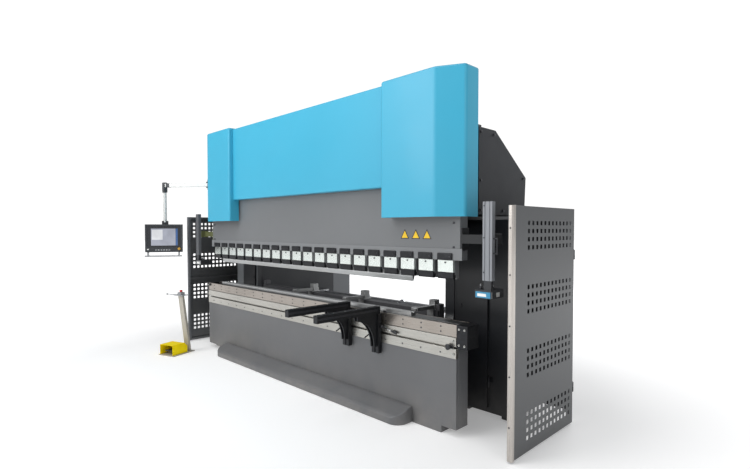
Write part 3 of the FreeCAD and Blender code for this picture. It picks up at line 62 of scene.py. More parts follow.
Color = tuple[float, float, float, float]
Point = Sequence[float]


def screen(red: int, green: int, blue: int) -> Color:
    """Linear colour of an 8-bit screen colour.

    Args:
        red: Red, 0 to 255.
        green: Green, 0 to 255.
        blue: Blue, 0 to 255.

    Returns:
        The colour with full opacity.
    """
    parts = [c / 255.0 for c in (red, green, blue)]
    line = [c / 12.92 if c <= 0.04045 else ((c + 0.055) / 1.055) ** 2.4 for c in parts]
    return (line[0], line[1], line[2], 1.0)


def shade(color: Color, factor: float) -> Color:
    """The same colour made lighter or darker."""
    return (min(1.0, color[0] * factor), min(1.0, color[1] * factor), min(1.0, color[2] * factor), 1.0)


# ---- finishes ------------------------------------------------------------------------------------
class Grain(Enum):
    """Direction in which a metal was brushed."""

    X = (6.0, 700.0, 700.0)
    Y = (700.0, 6.0, 700.0)
    Z = (700.0, 700.0, 6.0)


class Board:
    """Node board of one material: a shader and the textures that feed it."""

    def __init__(self, name: str) -> None:
        """Starts a material with object coordinates ready.

        Args:
            name: Name of the material.
        """
        self.material = bpy.data.materials.new(name)
        self.material.use_nodes = True
        self.nodes = self.material.node_tree.nodes
        self.links = self.material.node_tree.links
        self.shader = next(n for n in self.nodes if n.type == "BSDF_PRINCIPLED")
        self.coords = self.nodes.new("ShaderNodeTexCoord")

    def set(self, name: str, value: float | Color) -> None:
        """Sets a constant on the shader."""
        self.shader.inputs[name].default_value = value

    def feed(self, socket: bpy.types.NodeSocket, name: str) -> None:
        """Links a texture result to the shader."""
        self.links.new(socket, self.shader.inputs[name])

    def place(self, stretch: Point = (1.0, 1.0, 1.0)) -> bpy.types.NodeSocket:
        """Object coordinates stretched along the axes.

        Args:
            stretch: Scale of the pattern along X, Y and Z.

        Returns:
            The vector socket.
        """
        mapping = self.nodes.new("ShaderNodeMapping")
        mapping.inputs["Scale"].default_value = stretch
        self.links.new(self.coords.outputs["Object"], mapping.inputs["Vector"])
        return mapping.outputs["Vector"]

    def noise(self, scale: float, detail: float = 3.0, stretch: Point = (1.0, 1.0, 1.0),
              rough: float = 0.55) -> bpy.types.NodeSocket:
        """Cloudy texture on object coordinates.

        Args:
            scale: Number of clouds in a metre.
            detail: Octaves.
            stretch: Scale along the axes.
            rough: Strength of the finer octaves.

        Returns:
            Socket of a value from 0 to 1.
        """
        node = self.nodes.new("ShaderNodeTexNoise")
        node.inputs["Scale"].default_value = scale
        node.inputs["Detail"].default_value = detail
        node.inputs["Roughness"].default_value = rough
        self.links.new(self.place(stretch), node.inputs["Vector"])
        return node.outputs["Fac"]

    def spread(self, value: bpy.types.NodeSocket, low: float, high: float, start: float = 0.3,
               end: float = 0.7) -> bpy.types.NodeSocket:
        """Maps a texture value to a range.

        Args:
            value: Socket to map.
            low: Result at start.
            high: Result at end.
            start: Value that gives low.
            end: Value that gives high.

        Returns:
            Socket of the mapped value.
        """
        node = self.nodes.new("ShaderNodeMapRange")
        node.inputs["From Min"].default_value = start
        node.inputs["From Max"].default_value = end
        node.inputs["To Min"].default_value = low
        node.inputs["To Max"].default_value = high
        self.links.new(value, node.inputs["Value"])
        return node.outputs["Result"]

    def tint(self, factor: bpy.types.NodeSocket, first: Color | bpy.types.NodeSocket,
             second: Color | bpy.types.NodeSocket) -> bpy.types.NodeSocket:
        """Mixes two colours.

        Args:
            factor: Socket that goes from the first colour to the second.
            first: Colour, or the socket of one, at 0.
            second: Colour, or the socket of one, at 1.

        Returns:
            Colour socket.
        """
        node = self.nodes.new("ShaderNodeMix")
        node.data_type = "RGBA"
        self.links.new(factor, node.inputs["Factor"])
        ends = [socket for socket in node.inputs if socket.type == "RGBA"]
        for socket, color in zip(ends, (first, second)):
            if isinstance(color, bpy.types.NodeSocket):
                self.links.new(color, socket)
            else:
                socket.default_value = color
        return next(socket for socket in node.outputs if socket.type == "RGBA")

    def height(self, axis: str, low: float, high: float) -> bpy.types.NodeSocket:
        """Value that goes from 1 at low to 0 at high along one axis.

        Args:
            axis: X, Y or Z.
            low: Coordinate where the value is 1.
            high: Coordinate where it is 0.

        Returns:
            Value socket.
        """
        split = self.nodes.new("ShaderNodeSeparateXYZ")
        self.links.new(self.coords.outputs["Object"], split.inputs["Vector"])
        return self.spread(split.outputs[axis], 1.0, 0.0, low, high)

    def bump(self, value: bpy.types.NodeSocket, strength: float, distance: float) -> None:
        """Raises the surface by a texture, on top of any earlier bump.

        Args:
            value: Socket of the height.
            strength: Share of the effect.
            distance: Height in metres.
        """
        node = self.nodes.new("ShaderNodeBump")
        node.inputs["Strength"].default_value = strength
        node.inputs["Distance"].default_value = distance
        self.links.new(value, node.inputs["Height"])
        normal = self.shader.inputs["Normal"]
        if normal.is_linked:
            self.links.new(normal.links[0].from_socket, node.inputs["Normal"])
        self.links.new(node.outputs["Normal"], normal)


@dataclass(frozen=True)
class Finish:
    """A surface finish. Its material is made once, the first time that a piece wears it."""

    name: str
    color: Color
    rough: float

    def material(self) -> bpy.types.Material:
        """Material of this finish."""
        known = bpy.data.materials.get(self.name)
        if known is not None:
            return known
        board = Board(self.name)
        board.material.diffuse_color = self.color
        self.dress(board)
        return board.material

    def dress(self, board: Board) -> None:
        """Feeds the shader of a new board."""
        raise NotImplementedError


@dataclass(frozen=True)
class Paint(Finish):
    """Sprayed or powder paint: soft clouds of tone, fine orange peel, dust towards the floor."""

    tone: float = 0.06
    peel: float = 0.10
    gloss: float = 0.0
    dust: float = 0.0
    dust_top: float = 0.5
    shine: float = 0.5

    def dress(self, board: Board) -> None:
        """Feeds the shader of a new board."""
        clouds = board.spread(board.noise(0.8, 4.0), 0.0, 1.0)
        color = board.tint(clouds, shade(self.color, 1.0 - self.tone), shade(self.color, 1.0 + self.tone))
        specks = board.spread(board.noise(210.0, 2.0), 0.0, 0.35, 0.45, 0.75)
        color = board.tint(specks, color, shade(self.color, 1.0 - 1.6 * self.tone))
        if self.dust > 0.0:
            low = board.height("Z", 0.0, self.dust_top)
            patchy = board.nodes.new("ShaderNodeMath")
            patchy.operation = "MULTIPLY"
            board.links.new(low, patchy.inputs[0])
            board.links.new(board.spread(board.noise(5.0, 5.0), 0.0, self.dust), patchy.inputs[1])
            color = board.tint(patchy.outputs[0], color, screen(168, 160, 150))
        board.feed(color, "Base Color")
        smears = board.spread(board.noise(3.0, 5.0), self.rough - 0.05, self.rough + 0.07)
        board.feed(smears, "Roughness")
        board.set("Specular IOR Level", self.shine)
        board.set("Coat Weight", self.gloss)
        board.set("Coat Roughness", 0.12)
        board.bump(board.noise(520.0, 2.0), self.peel, 0.0006)


@dataclass(frozen=True)
class Brushed(Finish):
    """Ground or brushed metal with streaks along one direction."""

    grain: Grain = Grain.X
    streak: float = 0.16
    metal: float = 1.0
    stain: float = 0.10

    def dress(self, board: Board) -> None:
        """Feeds the shader of a new board."""
        lines = board.noise(1.0, 4.0, self.grain.value)
        color = board.tint(board.spread(lines, 0.0, 1.0), shade(self.color, 1.0 - self.streak),
                           shade(self.color, 1.0 + self.streak))
        stains = board.spread(board.noise(4.5, 5.0, rough=0.65), 0.0, self.stain, 0.5, 0.8)
        color = board.tint(stains, color, screen(96, 84, 70))
        board.feed(color, "Base Color")
        board.set("Metallic", self.metal)
        board.feed(board.spread(lines, self.rough - 0.06, self.rough + 0.10), "Roughness")
        board.bump(lines, 0.12, 0.0004)


@dataclass(frozen=True)
class Blackened(Finish):
    """Black oxide steel: mottled, half metallic, rubbed lighter in places."""

    metal: float = 0.55

    def dress(self, board: Board) -> None:
        """Feeds the shader of a new board."""
        mottle = board.spread(board.noise(38.0, 5.0, rough=0.6), 0.0, 1.0)
        color = board.tint(mottle, shade(self.color, 0.75), shade(self.color, 1.35))
        rubbed = board.spread(board.noise(9.0, 4.0), 0.0, 0.35, 0.58, 0.8)
        color = board.tint(rubbed, color, shade(self.color, 2.6))
        board.feed(color, "Base Color")
        board.set("Metallic", self.metal)
        board.feed(board.spread(board.noise(60.0, 3.0), self.rough - 0.06, self.rough + 0.10), "Roughness")
        board.bump(board.noise(900.0, 2.0), 0.10, 0.0004)


@dataclass(frozen=True)
class Moulded(Finish):
    """Moulded plastic or rubber with a fine cast grain."""

    grain: float = 1400.0
    depth: float = 0.14
    shine: float = 0.5

    def dress(self, board: Board) -> None:
        """Feeds the shader of a new board."""
        clouds = board.spread(board.noise(7.0, 4.0), 0.0, 1.0)
        board.feed(board.tint(clouds, shade(self.color, 0.93), shade(self.color, 1.08)), "Base Color")
        board.feed(board.spread(board.noise(22.0, 4.0), self.rough - 0.05, self.rough + 0.08), "Roughness")
        board.set("Specular IOR Level", self.shine)
        cells = board.nodes.new("ShaderNodeTexVoronoi")
        cells.inputs["Scale"].default_value = self.grain
        board.links.new(board.place(), cells.inputs["Vector"])
        board.bump(cells.outputs["Distance"], self.depth, 0.0003)


@dataclass(frozen=True)
class StudioFloor(Finish):
    """Pale matt floor that glows a little, and more far out, so that it stays pale in the shade."""

    glow: float = 0.28

    def dress(self, board: Board) -> None:
        """Feeds the shader of a new board."""
        clouds = board.spread(board.noise(0.4, 3.0), 0.0, 1.0)
        board.feed(board.tint(clouds, shade(self.color, 0.99), self.color), "Base Color")
        board.set("Roughness", self.rough)
        board.set("Emission Color", (1.0, 1.0, 1.0, 1.0))
        reach = board.nodes.new("ShaderNodeVectorMath")
        reach.operation = "LENGTH"
        board.links.new(board.coords.outputs["Object"], reach.inputs[0])
        board.feed(board.spread(reach.outputs["Value"], self.glow, 1.05, 3.0, 9.0), "Emission Strength")


@dataclass(frozen=True)
class Lit(Finish):
    """Display glass that gives off a soft light, a little uneven across the sheet."""

    glow: float = 0.6

    def dress(self, board: Board) -> None:
        """Feeds the shader of a new board."""
        clouds = board.spread(board.noise(9.0, 2.0), 0.0, 1.0)
        color = board.tint(clouds, shade(self.color, 0.86), shade(self.color, 1.05))
        board.feed(board.tint(clouds, screen(26, 28, 32), screen(34, 36, 40)), "Base Color")
        board.feed(color, "Emission Color")
        board.set("Emission Strength", self.glow)
        board.feed(board.spread(board.noise(30.0, 3.0), self.rough, self.rough + 0.06), "Roughness")


BED_PAINT = Paint("bed_paint", screen(99, 100, 102), 0.46, tone=0.07, dust=0.25, dust_top=0.35)
RAM_PAINT = Paint("ram_paint", screen(108, 110, 112), 0.44, tone=0.05)
STRIP_PAINT = Paint("strip_paint", screen(118, 120, 122), 0.40, tone=0.05)
FRAME_PAINT = Paint("frame_paint", screen(30, 33, 38), 0.42, tone=0.08, dust=0.2)
HOUSING_PAINT = Paint("housing_paint", screen(46, 48, 52), 0.50, tone=0.07, shine=0.25)
CABINET_PAINT = Paint("cabinet_paint", screen(26, 28, 32), 0.42, tone=0.10, dust=0.12)
BAND_PAINT = Paint("band_paint", screen(104, 107, 110), 0.46, tone=0.06)
COVER_PAINT = Paint("cover_paint", screen(56, 164, 196), 0.42, tone=0.03, peel=0.05, gloss=0.12)
GUARD_PAINT = Paint("guard_paint", screen(22, 24, 24), 0.68, tone=0.14, shine=0.10)
TANK_PAINT = Paint("tank_paint", screen(96, 100, 104), 0.50, tone=0.06)
CYLINDER_PAINT = Paint("cylinder_paint", screen(70, 73, 77), 0.45, tone=0.06)
PENDANT_PAINT = Paint("pendant_paint", screen(142, 145, 148), 0.38, tone=0.04)
POST_PAINT = Paint("post_paint", screen(176, 171, 160), 0.45, tone=0.04, dust=0.2, dust_top=0.2)
GAUGE_PAINT = Paint("gauge_paint", screen(52, 56, 62), 0.45, tone=0.06)
COLUMN_PAINT = Paint("column_paint", screen(134, 137, 142), 0.38, tone=0.05, peel=0.04)
LEFT_PAINT = Paint("left_paint", screen(92, 94, 98), 0.42, tone=0.06)
MOUNT_PAINT = Paint("mount_paint", screen(24, 26, 29), 0.60, tone=0.10)
# Skirting's upward faces: lighter paint as a painted highlight where the light falls on top; the dust towards
# the floor in it is real.
SKIRT_TOP_HIGHLIGHT_PAINT = Paint("skirt_top_highlight_paint", screen(104, 105, 107), 0.40, tone=0.08, dust=0.15, dust_top=0.35)
PLATE_STEEL = Brushed("plate_steel", screen(160, 153, 146), 0.30, Grain.X, stain=0.22)
RAIL_ALU = Brushed("rail_alu", screen(178, 176, 170), 0.30, Grain.X)
TOOL_STEEL = Brushed("tool_steel", screen(150, 151, 152), 0.30, Grain.X)
DIE_STEEL = Brushed("die_steel", screen(128, 129, 130), 0.34, Grain.X)
WEDGE_STEEL = Brushed("wedge_steel", screen(218, 224, 220), 0.26, Grain.Z, streak=0.08, stain=0.04)
ADAPTER_STEEL = Brushed("adapter_steel", screen(168, 170, 172), 0.32, Grain.Z)
POST_STEEL = Brushed("post_steel", screen(192, 186, 180), 0.30, Grain.Z, metal=0.85)
CHROME = Brushed("chrome", screen(226, 228, 230), 0.12, Grain.Z, streak=0.03, stain=0.0)
PIPE_STEEL = Brushed("pipe_steel", screen(188, 190, 192), 0.22, Grain.Y, stain=0.04)
OXIDE = Blackened("oxide_black", screen(34, 35, 38), 0.42)
SCREW_BLACK = Blackened("screw_black", screen(44, 45, 48), 0.38, metal=0.8)
SCREW_BRIGHT = Brushed("screw_bright", screen(190, 190, 186), 0.28, Grain.Y)
PAD_IRON = Blackened("pad_iron", screen(96, 94, 90), 0.62, metal=0.5)
BLACK_PLASTIC = Moulded("black_plastic", screen(36, 38, 42), 0.42)
BEZEL_PLASTIC = Moulded("bezel_plastic", screen(48, 51, 55), 0.36)
GREY_PLASTIC = Moulded("grey_plastic", screen(150, 152, 154), 0.45)
WHITE_PLASTIC = Moulded("white_plastic", screen(232, 232, 228), 0.40)
BLUE_PLASTIC = Moulded("blue_plastic", screen(48, 134, 172), 0.34)
YELLOW_PLASTIC = Moulded("yellow_plastic", screen(255, 222, 0), 0.45, depth=0.08, shine=0.12)
GOLD_PLASTIC = Moulded("gold_plastic", screen(206, 158, 52), 0.34)
RED_PLASTIC = Moulded("red_plastic", screen(196, 28, 24), 0.32)
RUBBER = Moulded("pedal_rubber", screen(40, 40, 42), 0.72, depth=0.3)
SIGN_YELLOW = Moulded("sign_yellow", screen(240, 196, 20), 0.42, depth=0.04)
MODULE_GREY = Moulded("module_grey", screen(196, 198, 196), 0.5)
OLIVE_PAINT = Paint("olive_paint", screen(84, 88, 52), 0.50, tone=0.06)
SCREEN_GREY = Lit("screen_grey", screen(182, 186, 200), 0.10, 0.80)
SCREEN_BLUE = Lit("screen_blue", screen(70, 110, 170), 0.10, 0.75)
SCREEN_PALE = Lit("screen_pale", screen(236, 238, 242), 0.10, 0.9)


# ---- shapes --------------------------------------------------------------------------------------
def aim(start: Point, axis: Point) -> Matrix:
    """Place of a shape made along +Z, moved to a start point and turned to an axis."""
    return Matrix.Translation(Vector(start)) @ Vector(axis).to_track_quat("Z", "Y").to_matrix().to_4x4()


def soften(shape: bmesh.types.BMesh, edges: Iterable[bmesh.types.BMEdge], width: float,
           rounds: int = 2) -> None:
    """Rounds some edges of a shape.

    Args:
        shape: Shape to change.
        edges: Edges to round.
        width: Width of the round.
        rounds: Number of facets across it.
    """
    bmesh.ops.bevel(shape, geom=list(edges), offset=width, offset_type="OFFSET", segments=rounds, profile=0.5,
                    affect="EDGES", clamp_overlap=True, material=-1)


def block(low: Point, high: Point, edge: float = 0.0, rounds: int = 2) -> bmesh.types.BMesh:
    """Box between two corners with rounded edges.

    Args:
        low: Lowest corner.
        high: Highest corner.
        edge: Width of the rounds, 0 for none.
        rounds: Number of facets across a round.

    Returns:
        The shape.
    """
    shape = bmesh.new()
    bmesh.ops.create_cube(shape, size=1.0)
    size = Vector(high) - Vector(low)
    bmesh.ops.scale(shape, vec=size, verts=shape.verts)
    bmesh.ops.translate(shape, vec=(Vector(high) + Vector(low)) / 2.0, verts=shape.verts)
    if edge > 0.0:
        soften(shape, shape.edges, min(edge, min(size) * 0.45), rounds)
    return shape


def rod(start: Point, axis: Point, radius: float, length: float, edge: float = 0.0, sides: int = 24,
        far: float | None = None) -> bmesh.types.BMesh:
    """Round bar from a start point along an axis.

    Args:
        start: Middle of the first end.
        axis: Direction.
        radius: Radius at the start.
        length: Length.
        edge: Width of the round on both rims.
        sides: Facets round the bar.
        far: Radius at the far end, the same when not given.

    Returns:
        The shape.
    """
    shape = bmesh.new()
    bmesh.ops.create_cone(shape, cap_ends=True, segments=sides, radius1=radius,
                          radius2=radius if far is None else far, depth=length)
    bmesh.ops.translate(shape, vec=(0.0, 0.0, length / 2.0), verts=shape.verts)
    if edge > 0.0:
        rims = [e for e in shape.edges if abs(e.verts[0].co.z - e.verts[1].co.z) < 1e-7]
        soften(shape, rims, edge)
    bmesh.ops.transform(shape, matrix=aim(start, axis), verts=shape.verts)
    return shape


def turned(profile: Sequence[tuple[float, float]], start: Point, axis: Point,
           steps: int = 28) -> bmesh.types.BMesh:
    """Shape turned on a lathe.

    Args:
        profile: (radius, height) points from one end of the axis to the other.
        start: Point of the axis at height 0.
        axis: Direction of the axis.
        steps: Facets round the axis.

    Returns:
        The closed shape.
    """
    shape = bmesh.new()
    rail = [shape.verts.new((radius, 0.0, height)) for radius, height in profile]
    edges = [shape.edges.new(pair) for pair in zip(rail, rail[1:])]
    bmesh.ops.spin(shape, geom=rail + edges, cent=(0, 0, 0), axis=(0, 0, 1), angle=math.tau, steps=steps,
                   use_merge=True, use_duplicate=False)
    bmesh.ops.remove_doubles(shape, verts=shape.verts, dist=1e-6)
    bmesh.ops.transform(shape, matrix=aim(start, axis), verts=shape.verts)
    return shape


def prism(outline: Sequence[Point], push: Point, edge: float = 0.0, rounds: int = 2) -> bmesh.types.BMesh:
    """Flat outline pushed into a bar.

    Args:
        outline: Corners of the flat face, in order.
        push: Way and length of the push.
        edge: Width of the rounds, 0 for none.
        rounds: Facets across a round.

    Returns:
        The shape.
    """
    shape = bmesh.new()
    face = shape.faces.new([shape.verts.new(p) for p in outline])
    made = bmesh.ops.extrude_face_region(shape, geom=[face], use_keep_orig=True)
    moved = [g for g in made["geom"] if isinstance(g, bmesh.types.BMVert)]
    bmesh.ops.translate(shape, vec=push, verts=moved)
    bmesh.ops.recalc_face_normals(shape, faces=shape.faces)
    if edge > 0.0:
        soften(shape, shape.edges, edge, rounds)
    return shape


def shells(shape: bmesh.types.BMesh) -> list[list[bmesh.types.BMVert]]:
    """Separate bodies of a shape.

    Args:
        shape: Shape with one or more bodies.

    Returns:
        The vertices of each body.
    """
    left = set(shape.verts)
    found = []
    while left:
        seed = left.pop()
        body, open_ends = [seed], [seed]
        while open_ends:
            vert = open_ends.pop()
            for e in vert.link_edges:
                other = e.other_vert(vert)
                if other in left:
                    left.discard(other)
                    body.append(other)
                    open_ends.append(other)
        found.append(body)
    found.sort(key=lambda body: tuple(round(c, 4) for c in min(v.co.to_tuple(4) for v in body)))
    return found


def merged(node: str) -> bmesh.types.BMesh:
    """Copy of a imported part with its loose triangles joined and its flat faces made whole.

    Args:
        node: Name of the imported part.

    Returns:
        The copy.
    """
    shape = bmesh.new()
    shape.from_mesh(frame["nodes"][node].data)
    bmesh.ops.remove_doubles(shape, verts=shape.verts, dist=2e-6)
    bmesh.ops.dissolve_limit(shape, angle_limit=math.radians(0.4), use_dissolve_boundaries=False,
                             verts=shape.verts, edges=shape.edges)
    return shape


def spots(node: str) -> list[tuple[Vector, Vector]]:
    """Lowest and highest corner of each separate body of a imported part."""
    shape = merged(node)
    found = []
    for body in shells(shape):
        low = Vector([min(v.co[i] for v in body) for i in range(3)])
        high = Vector([max(v.co[i] for v in body) for i in range(3)])
        found.append((low, high))
    shape.free()
    return found


def refined(node: str, edge: float, rounds: int = 2, crease: float = 28.0) -> bmesh.types.BMesh:
    """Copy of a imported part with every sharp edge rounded.

    Args:
        node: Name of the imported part.
        edge: Width of the rounds, 0 for none.
        rounds: Facets across a round.
        crease: Least angle in degrees of an edge that is rounded.

    Returns:
        The copy.
    """
    shape = merged(node)
    if edge <= 0.0:
        return shape
    limit = math.radians(crease)
    for body in shells(shape):
        edges = {e for v in body for e in v.link_edges}
        sharp = [e for e in edges if len(e.link_faces) == 2 and e.calc_face_angle(0.0) > limit]
        sharp.sort(key=lambda e: (e.verts[0].co + e.verts[1].co).to_tuple(5))
        if sharp:
            soften(shape, sharp, edge, rounds)
    return shape


@dataclass
class Piece:
    """One piece in the making: a mesh of several shapes, each in its own finish."""

    name: str
    mesh: bmesh.types.BMesh = field(default_factory=bmesh.new)
    finishes: list[Finish] = field(default_factory=list)

    def index(self, finish: Finish) -> int:
        """Material number of a finish on this piece."""
        if finish not in self.finishes:
            self.finishes.append(finish)
        return self.finishes.index(finish)

    def add(self, shape: bmesh.types.BMesh, finish: Finish, where: Matrix | None = None, fixed: bool = False,
            faces: Callable[[bmesh.types.BMFace], Finish] | None = None) -> "Piece":
        """Puts a shape on the piece.

        Args:
            shape: Shape, used up.
            finish: Its finish.
            where: Place, when it was made somewhere else.
            fixed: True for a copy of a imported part, whose faces already point outwards.
            faces: Rule that gives a face another finish.

        Returns:
            This piece.
        """
        if where is not None:
            bmesh.ops.transform(shape, matrix=where, verts=shape.verts)
        if not fixed:
            bmesh.ops.recalc_face_normals(shape, faces=shape.faces)
        shape.normal_update()
        for face in shape.faces:
            face.material_index = self.index(faces(face) if faces else finish)
        scrap = bpy.data.meshes.new("scrap")
        shape.to_mesh(scrap)
        shape.free()
        self.mesh.from_mesh(scrap)
        bpy.data.meshes.remove(scrap)
        return self

    def done(self, body: str, slot: str, *stands_for: str, crease: float = 46.0) -> bpy.types.Object:
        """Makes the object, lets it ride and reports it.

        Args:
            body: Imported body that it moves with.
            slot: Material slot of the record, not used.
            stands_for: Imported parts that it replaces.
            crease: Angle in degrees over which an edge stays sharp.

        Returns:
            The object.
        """
        mesh = bpy.data.meshes.new(self.name)
        self.mesh.to_mesh(mesh)
        self.mesh.free()
        for finish in self.finishes:
            mesh.materials.append(finish.material())
        mesh.polygons.foreach_set("use_smooth", [True] * len(mesh.polygons))
        mesh.set_sharp_from_angle(angle=math.radians(crease))
        piece = bpy.data.objects.new(self.name, mesh)
        bpy.context.scene.collection.objects.link(piece)
        even = piece.modifiers.new("even_normals", "WEIGHTED_NORMAL")
        even.weight = 80
        even.keep_sharp = True
        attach(piece, body)
        if stands_for:
            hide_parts(*stands_for)
        LOG.info("%s: %d faces on %s", self.name, len(mesh.polygons), body)
        return piece


def dressed(node: str, finish: Finish, edge: float = 0.002, rounds: int = 2, name: str | None = None,
            faces: Callable[[bmesh.types.BMFace], Finish] | None = None) -> bpy.types.Object:
    """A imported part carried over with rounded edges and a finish.

    Args:
        node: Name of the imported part.
        finish: Its finish.
        edge: Width of the rounds.
        rounds: Facets across a round.
        name: Name of the new piece.
        faces: Rule that gives a face another finish.

    Returns:
        The object.
    """
    piece = Piece(name or node + "_made")
    piece.add(refined(node, edge, rounds), finish, fixed=True, faces=faces)
    return piece.done(BODY_OF[node], SLOT_OF[node], node)


def cap_screw(centre: Point, axis: Point, radius: float, height: float,
              sides: int = 14) -> bmesh.types.BMesh:
    """Head of a socket screw that stands on a face.

    Args:
        centre: Middle of the head's foot.
        axis: Way that the head points.
        radius: Radius of the head.
        height: Height of the head.
        sides: Facets round it.

    Returns:
        The shape.
    """
    profile = [(0.0, 0.0), (radius, 0.0), (radius, height * 0.8), (radius * 0.86, height),
               (radius * 0.5, height), (radius * 0.46, height * 0.3), (0.0, height * 0.3)]
    return turned(profile, centre, axis, sides)


def hex_head(centre: Point, axis: Point, radius: float, height: float) -> bmesh.types.BMesh:
    """Six-sided bolt head on a round washer.

    Args:
        centre: Middle of the washer's foot.
        axis: Way that the head points.
        radius: Corner radius of the head.
        height: Height of head and washer.

    Returns:
        The shape.
    """
    washer = rod(centre, axis, radius * 1.25, height * 0.25, height * 0.05, 20)
    head = rod(Vector(centre) + Vector(axis).normalized() * height * 0.25, axis, radius, height * 0.75,
               radius * 0.12, 6)
    scrap = bpy.data.meshes.new("scrap")
    head.to_mesh(scrap)
    head.free()
    washer.from_mesh(scrap)
    bpy.data.meshes.remove(scrap)
    return washer


# ---- sub-assemblies ------------------------------------------------------------------------------
@dataclass
class Bed:
    """Bed beam, apron, skirting, table plates, slotted rail and end boxes."""

    edge: float = 0.003
    plate_edge: float = 0.0015
    skirt_edge: float = 0.010
    bolt_radius: float = 0.0085
    bolt_height: float = 0.006
    bolt_inset: float = 0.0055
    bolt_sink: float = 0.001

    def build(self) -> None:
        """Makes and dresses the bed."""
        dressed("bed_beam", BED_PAINT, self.edge)
        dressed("bed_apron", BED_PAINT, self.edge)
        # The skirting's upward faces get lighter paint, a painted highlight.
        dressed("foot_skirt", BED_PAINT, self.skirt_edge, 3, faces=self.lit_top_faces)
        dressed("table_plates", PLATE_STEEL, self.plate_edge)
        dressed("support_rail", RAIL_ALU, self.plate_edge)
        self.screws()
        self.end_boxes()

    def lit_top_faces(self, face: bmesh.types.BMFace) -> Finish:
        """Lighter paint on the skirting's upward faces: a painted highlight where the light falls on top."""
        return SKIRT_TOP_HIGHLIGHT_PAINT if face.normal.z > 0.25 else BED_PAINT

    def screws(self) -> None:
        """Socket screws of the table and the rail."""
        piece = Piece("table_socket_screws")
        for low, high in spots("table_screws"):
            centre = Vector(((low.x + high.x) / 2, high.y, (low.z + high.z) / 2))
            piece.add(cap_screw(centre, (0, -1, 0), (high.x - low.x) / 2, high.y - low.y), SCREW_BLACK)
        piece.done("machine", SLOT_OF["table_screws"], "table_screws")

    def end_boxes(self) -> None:
        """Black boxes on both table ends with their bolts."""
        piece = Piece("rail_end_boxes")
        piece.add(refined("rail_ends", 0.004), OXIDE, fixed=True)
        bodies = spots("rail_ends")
        for side, (low, high) in zip((-1.0, 1.0), bodies):
            size = high - low
            for part_y in (0.2, 0.8):
                for part_z in (0.18, 0.82):
                    y = low.y + size.y * part_y
                    z = low.z + size.z * part_z
                    x = high.x - self.bolt_inset if side > 0 else low.x + self.bolt_inset
                    head = hex_head((x - side * self.bolt_sink, y, z), (side, 0, 0), self.bolt_radius,
                                    self.bolt_height)
                    piece.add(head, SCREW_BRIGHT)
            for part_x in (0.25, 0.75):
                for part_z in (0.16, 0.84):
                    centre = (low.x + size.x * part_x, low.y, low.z + size.z * part_z)
                    head = cap_screw(centre, (0, -1, 0), self.bolt_radius, self.bolt_height)
                    piece.add(head, SCREW_BRIGHT)
        piece.done("machine", SLOT_OF["rail_ends"], "rail_ends")


@dataclass
class Tooling:
    """Die rail, V die and punches."""

    def build(self) -> None:
        """Makes and dresses the tools."""
        dressed("die_rail", DIE_STEEL, 0.0015)
        dressed("v_die", TOOL_STEEL, 0.0008)
        dressed("punches", TOOL_STEEL, 0.0006, 1)


@dataclass
class Ram:
    """Ram plate with its strip, adapters, clamps, screws, rods, end bolts and three blank signs."""

    sign_x: tuple[float, ...] = (1.470, 1.592, 1.712)
    sign_z: float = 1.529
    sign_side: float = 0.094
    sign_thick: float = 0.0012
    sign_layers: tuple[tuple[float, float, Finish], ...] = (
        (1.0, 0.0, BLACK_PLASTIC), (0.74, 0.0006, SIGN_YELLOW))
    bolt_rows: tuple[float, ...] = (1.455, 1.600, 1.745)
    bolt_size: float = 0.012
    front_rows: tuple[float, ...] = (1.47, 1.66)
    front_inset: float = 0.06
    front_radius: float = 0.009
    front_height: float = 0.006

    def build(self) -> None:
        """Makes and dresses the ram."""
        dressed("ram_plate", RAM_PAINT, 0.003)
        dressed("ram_strip", STRIP_PAINT, 0.0015)
        dressed("adapter_bodies", ADAPTER_STEEL, 0.001)
        dressed("upper_clamps", OXIDE, 0.0015)
        dressed("wedge_plates", WEDGE_STEEL, 0.0015)
        dressed("lower_clamps", OXIDE, 0.0015)
        dressed("piston_rods", CHROME, 0.001)
        dressed("sensor_mounts", MOUNT_PAINT, 0.002, faces=self.mount)
        self.screws()
        self.signs()
        self.end_bolts()

    def mount(self, face: bmesh.types.BMFace) -> Finish:
        """Olive bracket on the left, black on the right."""
        return OLIVE_PAINT if face.calc_center_median().x < 0.0 else MOUNT_PAINT

    def screws(self) -> None:
        """Screws of the clamps and the wedges."""
        piece = Piece("clamp_socket_screws")
        for low, high in spots("clamp_screws"):
            centre = Vector(((low.x + high.x) / 2, high.y, (low.z + high.z) / 2))
            piece.add(cap_screw(centre, (0, -1, 0), (high.x - low.x) / 2, high.y - low.y), SCREW_BLACK)
        piece.done("ram", SLOT_OF["clamp_screws"], "clamp_screws")

    def signs(self) -> None:
        """Three blank yellow triangles with black rims."""
        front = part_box("ram_plate")[0].y
        piece = Piece("blank_signs")
        for x in self.sign_x:
            for size, lift, finish in self.sign_layers:
                half = self.sign_side / 2 * size
                tall = self.sign_side * 0.866 * size
                base = self.sign_z + self.sign_side * 0.866 * (1.0 - size) / 3.0
                y = front - lift
                outline = [(x - half, y, base), (x + half, y, base), (x, y, base + tall)]
                piece.add(prism(outline, (0, -self.sign_thick, 0)), finish)
        piece.done("ram", SLOT_OF["ram_plate"])

    def end_bolts(self) -> None:
        """Bolts in the ram's end faces and along its front near the ends."""
        low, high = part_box("ram_plate")
        piece = Piece("ram_end_bolts")
        for side, x in ((-1.0, low.x), (1.0, high.x)):
            for z in self.bolt_rows:
                centre = (x, (low.y + high.y) / 2, z)
                piece.add(hex_head(centre, (side, 0, 0), self.bolt_size, self.bolt_size), SCREW_BLACK)
            for z in self.front_rows:
                centre = (x - side * self.front_inset, low.y, z)
                piece.add(cap_screw(centre, (0, -1, 0), self.front_radius, self.front_height), SCREW_BLACK)
        piece.done("ram", SLOT_OF["clamp_screws"])


